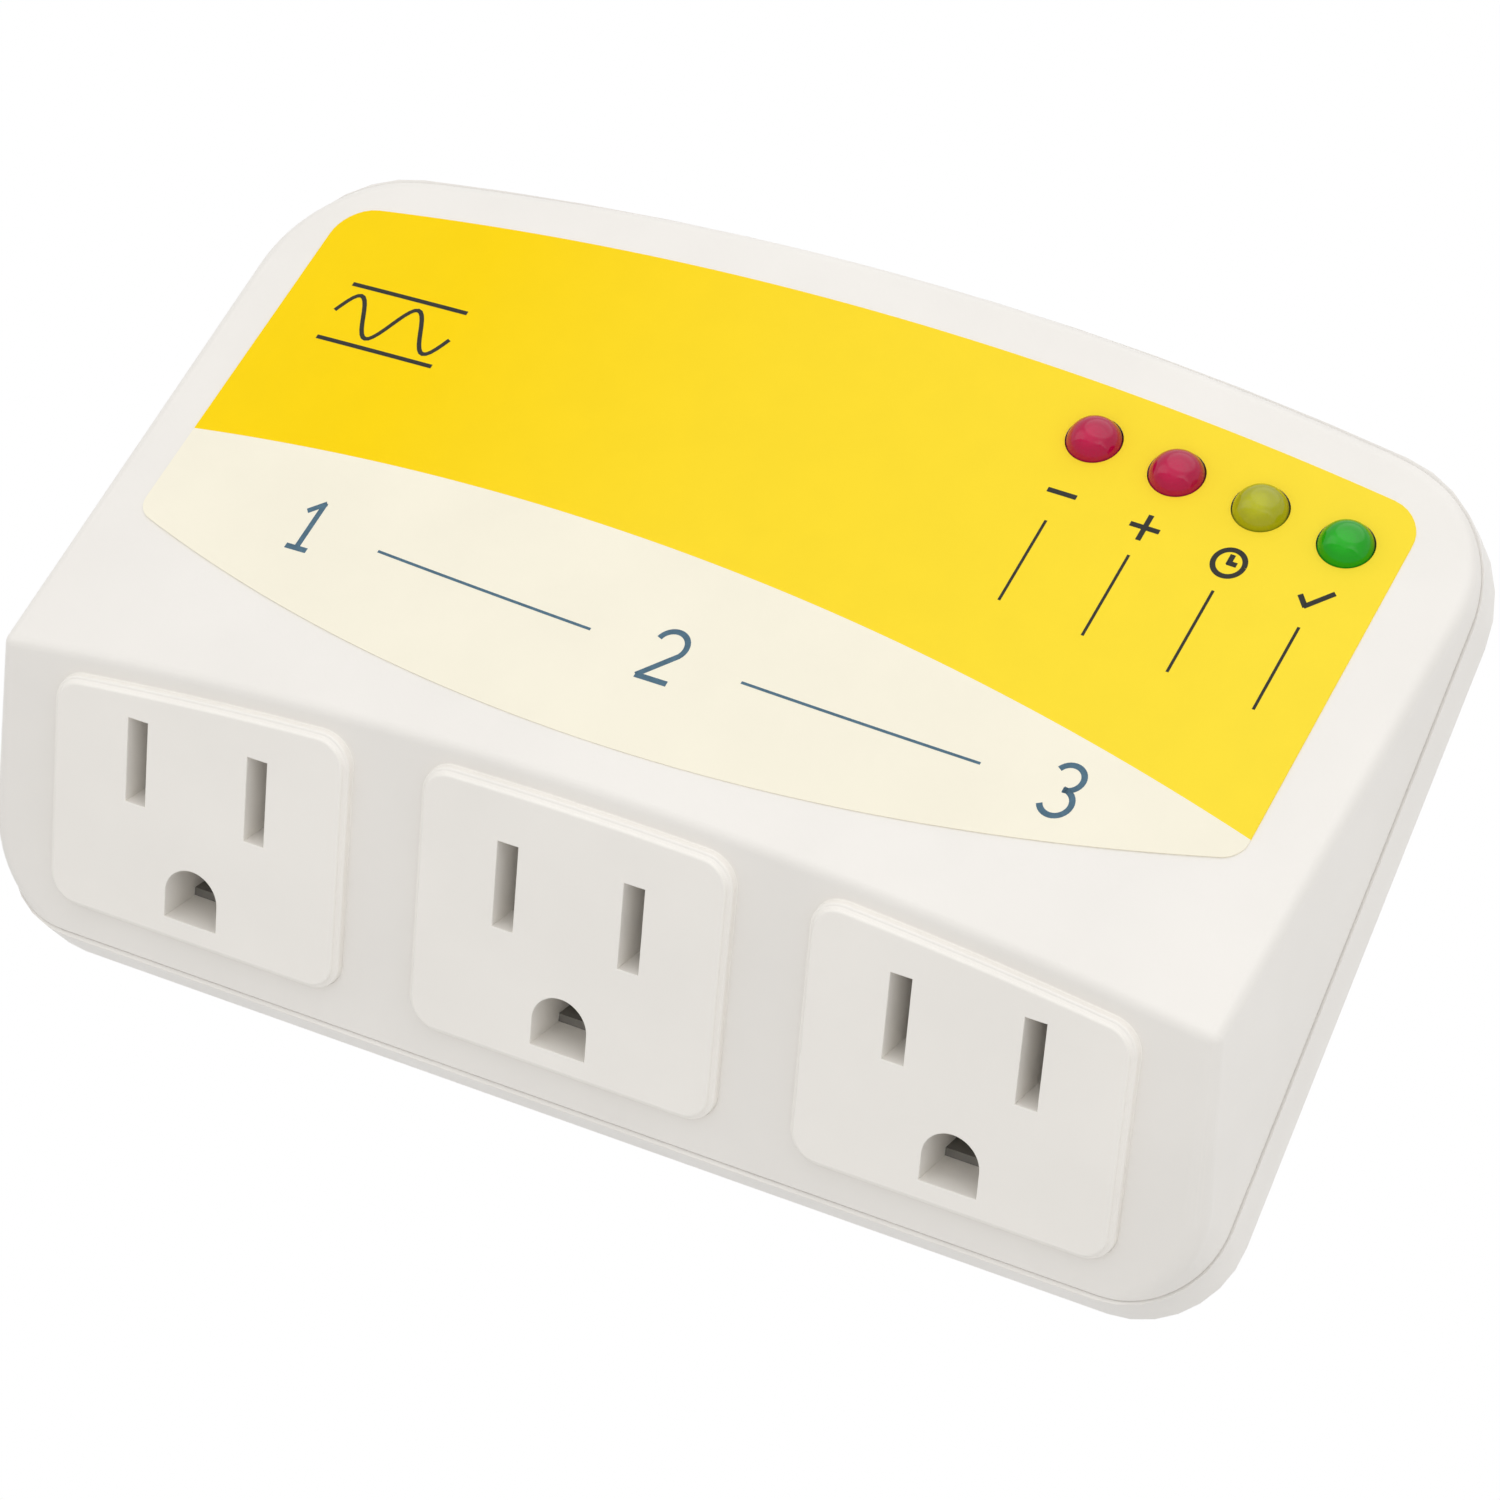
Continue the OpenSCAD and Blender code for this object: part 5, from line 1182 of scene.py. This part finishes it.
class PROTECTOR_OT_components(Builder, bpy.types.Operator):
    """Finish what is soldered to the board: varistors, capacitors, resistors, chip and fuse"""

    bl_idname = "protector.components"
    bl_label = "Components"

    def execute(self, context):
        e = context.scene.protector_electronics
        self.leaded("Dipped varistor", e.varistor, 0.3, 700.0, 0.06, "varistors")
        self.leaded("Film capacitor", e.film, 0.24, 900.0, 0.01, "film_capacitor")
        self.leaded("Ceramic resistor", e.green_enamel, 0.55, 1600.0, 0.03, "bleed_resistor")
        self.leaded("Tan enamel", e.tan_enamel, 0.4, 1300.0, 0.02, "small_resistors")
        self.leaded("Moulded epoxy", e.black, 0.5, 2400.0, 0.015, "control_chip", "regulator",
                    "driver_transistor", "rectifier_diodes")
        self.leaded("Cutoff shell", e.natural, 0.35, 1500.0, 0.01, "thermal_cutoff")
        for node in ("smoothing_capacitor", "timing_capacitor"):
            dress(self.sleeve(node, e.sleeve, e.natural), node)
        dress(self.glass(e.glass), "board_fuse")
        return {"FINISHED"}

    def leads(self, n, place):
        """1 on the leads that pass through the board, 0 above it."""
        return n.step(n.along(place, "Y"), BOARD_FRONT, 0.03 * MM)

    def leaded(self, name, colour, roughness, grain, depth, *nodes):
        """A coated body above the board on tinned leads."""
        n = Nodes(name)
        place = n.place()
        leads = self.leads(n, place)
        n.finish(n.mix(leads, n.tone(place, grain, colour, -0.12, 0.1), TIN),
                 n.spread(n.noise(place, 0.6 * grain), roughness - 0.06, roughness + 0.06),
                 n.bump(n.noise(place, grain, 2.0), depth * MM))
        n.plug(leads, "Metallic")
        dress(n.material, *nodes)

    def sleeve(self, node, colour, pale):
        """Shrink sleeve with a pale stripe down one side and the bare end of the can."""
        low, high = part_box(node)
        n = Nodes("Sleeve of " + node.replace("_", " "))
        place = n.place()
        end = n.step(n.along(place, "Y"), low[1] + 0.12 * MM, -0.03 * MM)
        stripe = n.step(n.along(place, "X"), low[0] + 0.12 * (high[0] - low[0]), -0.05 * MM)
        skin = n.tone(place, 500.0, colour, -0.1, 0.12)
        bare = n.add("Math", [(0, end), (1, self.leads(n, place))], operation="MAXIMUM").outputs[0]
        n.finish(n.mix(bare, n.mix(stripe, skin, tuple(pale)), TIN),
                 n.spread(n.noise(place, 900.0), 0.22, 0.32),
                 n.bump(n.noise(place, 1600.0), 0.008 * MM))
        n.plug(bare, "Metallic")
        return n.material

    def glass(self, colour):
        """Fuse tube with a plated cap at each end."""
        low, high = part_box("board_fuse")
        n = Nodes("Fuse tube")
        place = n.place()
        up = n.along(place, "Z")
        reach = FUSE_CAP * (high[2] - low[2])
        lower = n.step(up, low[2] + reach, -0.03 * MM)
        upper = n.step(up, high[2] - reach, 0.03 * MM)
        caps = n.add("Math", [(0, lower), (1, upper)], operation="MAXIMUM").outputs[0]
        n.plug(n.mix(caps, n.tone(place, 300.0, colour, -0.04, 0.0), TIN), "Base Color")
        n.plug(caps, "Metallic")
        clear = n.add("Math", [(0, 0.9), (1, caps)], operation="SUBTRACT").outputs[0]
        n.plug(clear, "Transmission Weight")
        n.plug(n.spread(n.noise(place, 800.0), 0.06, 0.14), "Roughness")
        return n.material


class PROTECTOR_OT_wires(Builder, bpy.types.Operator):
    """Finish the insulated leads inside"""

    bl_idname = "protector.wires"
    bl_label = "Wires"

    def execute(self, context):
        e = context.scene.protector_electronics
        for node, colour in (("line_wire", e.black), ("neutral_wire", e.natural),
                             ("ground_wire", e.earth_green)):
            label = "Insulation of " + node.replace("_", " ")
            dress(moulded(label, colour, 0.34, 0.05, 1600.0, 0.01, 0.15), node)
            even(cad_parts[node], 50.0)
        return {"FINISHED"}


class PROTECTOR_OT_screws(Builder, bpy.types.Operator):
    """Finish the screws with passivated zinc"""

    bl_idname = "protector.screws"
    bl_label = "Screws"

    def execute(self, context):
        n = Nodes("Passivated zinc")
        place = n.place()
        zinc = context.scene.protector_metals.zinc
        yellowed = (zinc[0] * 1.05, zinc[1], zinc[2] * 0.8)
        tones = [(0.3, shade(zinc, -0.1)), (0.55, zinc), (0.8, yellowed)]
        n.finish(n.ramp(n.noise(place, 260.0, 5.0), tones),
                 n.spread(n.noise(place, 2400.0), 0.24, 0.42),
                 n.bump(n.noise(place, 3000.0), 0.008 * MM))
        n.set(Metallic=1.0)
        dress(n.material, "carrier_screws", "case_screws", "board_screws", "retainer_screws")
        return {"FINISHED"}


OPERATORS = (PROTECTOR_OT_stage, PROTECTOR_OT_housing, PROTECTOR_OT_outlets, PROTECTOR_OT_label,
             PROTECTOR_OT_lamps, PROTECTOR_OT_plug, PROTECTOR_OT_contacts, PROTECTOR_OT_board,
             PROTECTOR_OT_relay, PROTECTOR_OT_components, PROTECTOR_OT_wires, PROTECTOR_OT_screws)


class PROTECTOR_PT_panel(bpy.types.Panel):
    """Steps that dress the voltage protector"""

    bl_idname = "PROTECTOR_PT_panel"
    bl_label = "Voltage Protector"
    bl_space_type = "VIEW_3D"
    bl_region_type = "UI"
    bl_category = "Protector"

    def draw(self, context):
        for operator in OPERATORS:
            self.layout.operator(operator.bl_idname)
        for name in SETTINGS:
            box = self.layout.box()
            group = getattr(context.scene, name)
            for key in group.bl_rna.properties.keys():
                if key not in ("rna_type", "name"):
                    box.prop(group, key)


SETTINGS = {"protector_housing": HousingSettings, "protector_outlets": OutletSettings,
            "protector_label": LabelSettings, "protector_lamps": LampSettings,
            "protector_metals": MetalSettings, "protector_electronics": ElectronicsSettings,
            "protector_stage": StageSettings}
CLASSES = (*SETTINGS.values(), *OPERATORS, PROTECTOR_PT_panel)


def register():
    for made in CLASSES:
        bpy.utils.register_class(made)
    for name, group in SETTINGS.items():
        setattr(bpy.types.Scene, name, PointerProperty(type=group))


def unregister():
    for name in SETTINGS:
        delattr(bpy.types.Scene, name)
    for made in reversed(CLASSES):
        bpy.utils.unregister_class(made)


def main():
    register()
    for operator in OPERATORS:
        group, step = operator.bl_idname.split(".")
        getattr(getattr(bpy.ops, group), step)()


if __name__ == "__main__":
    main()
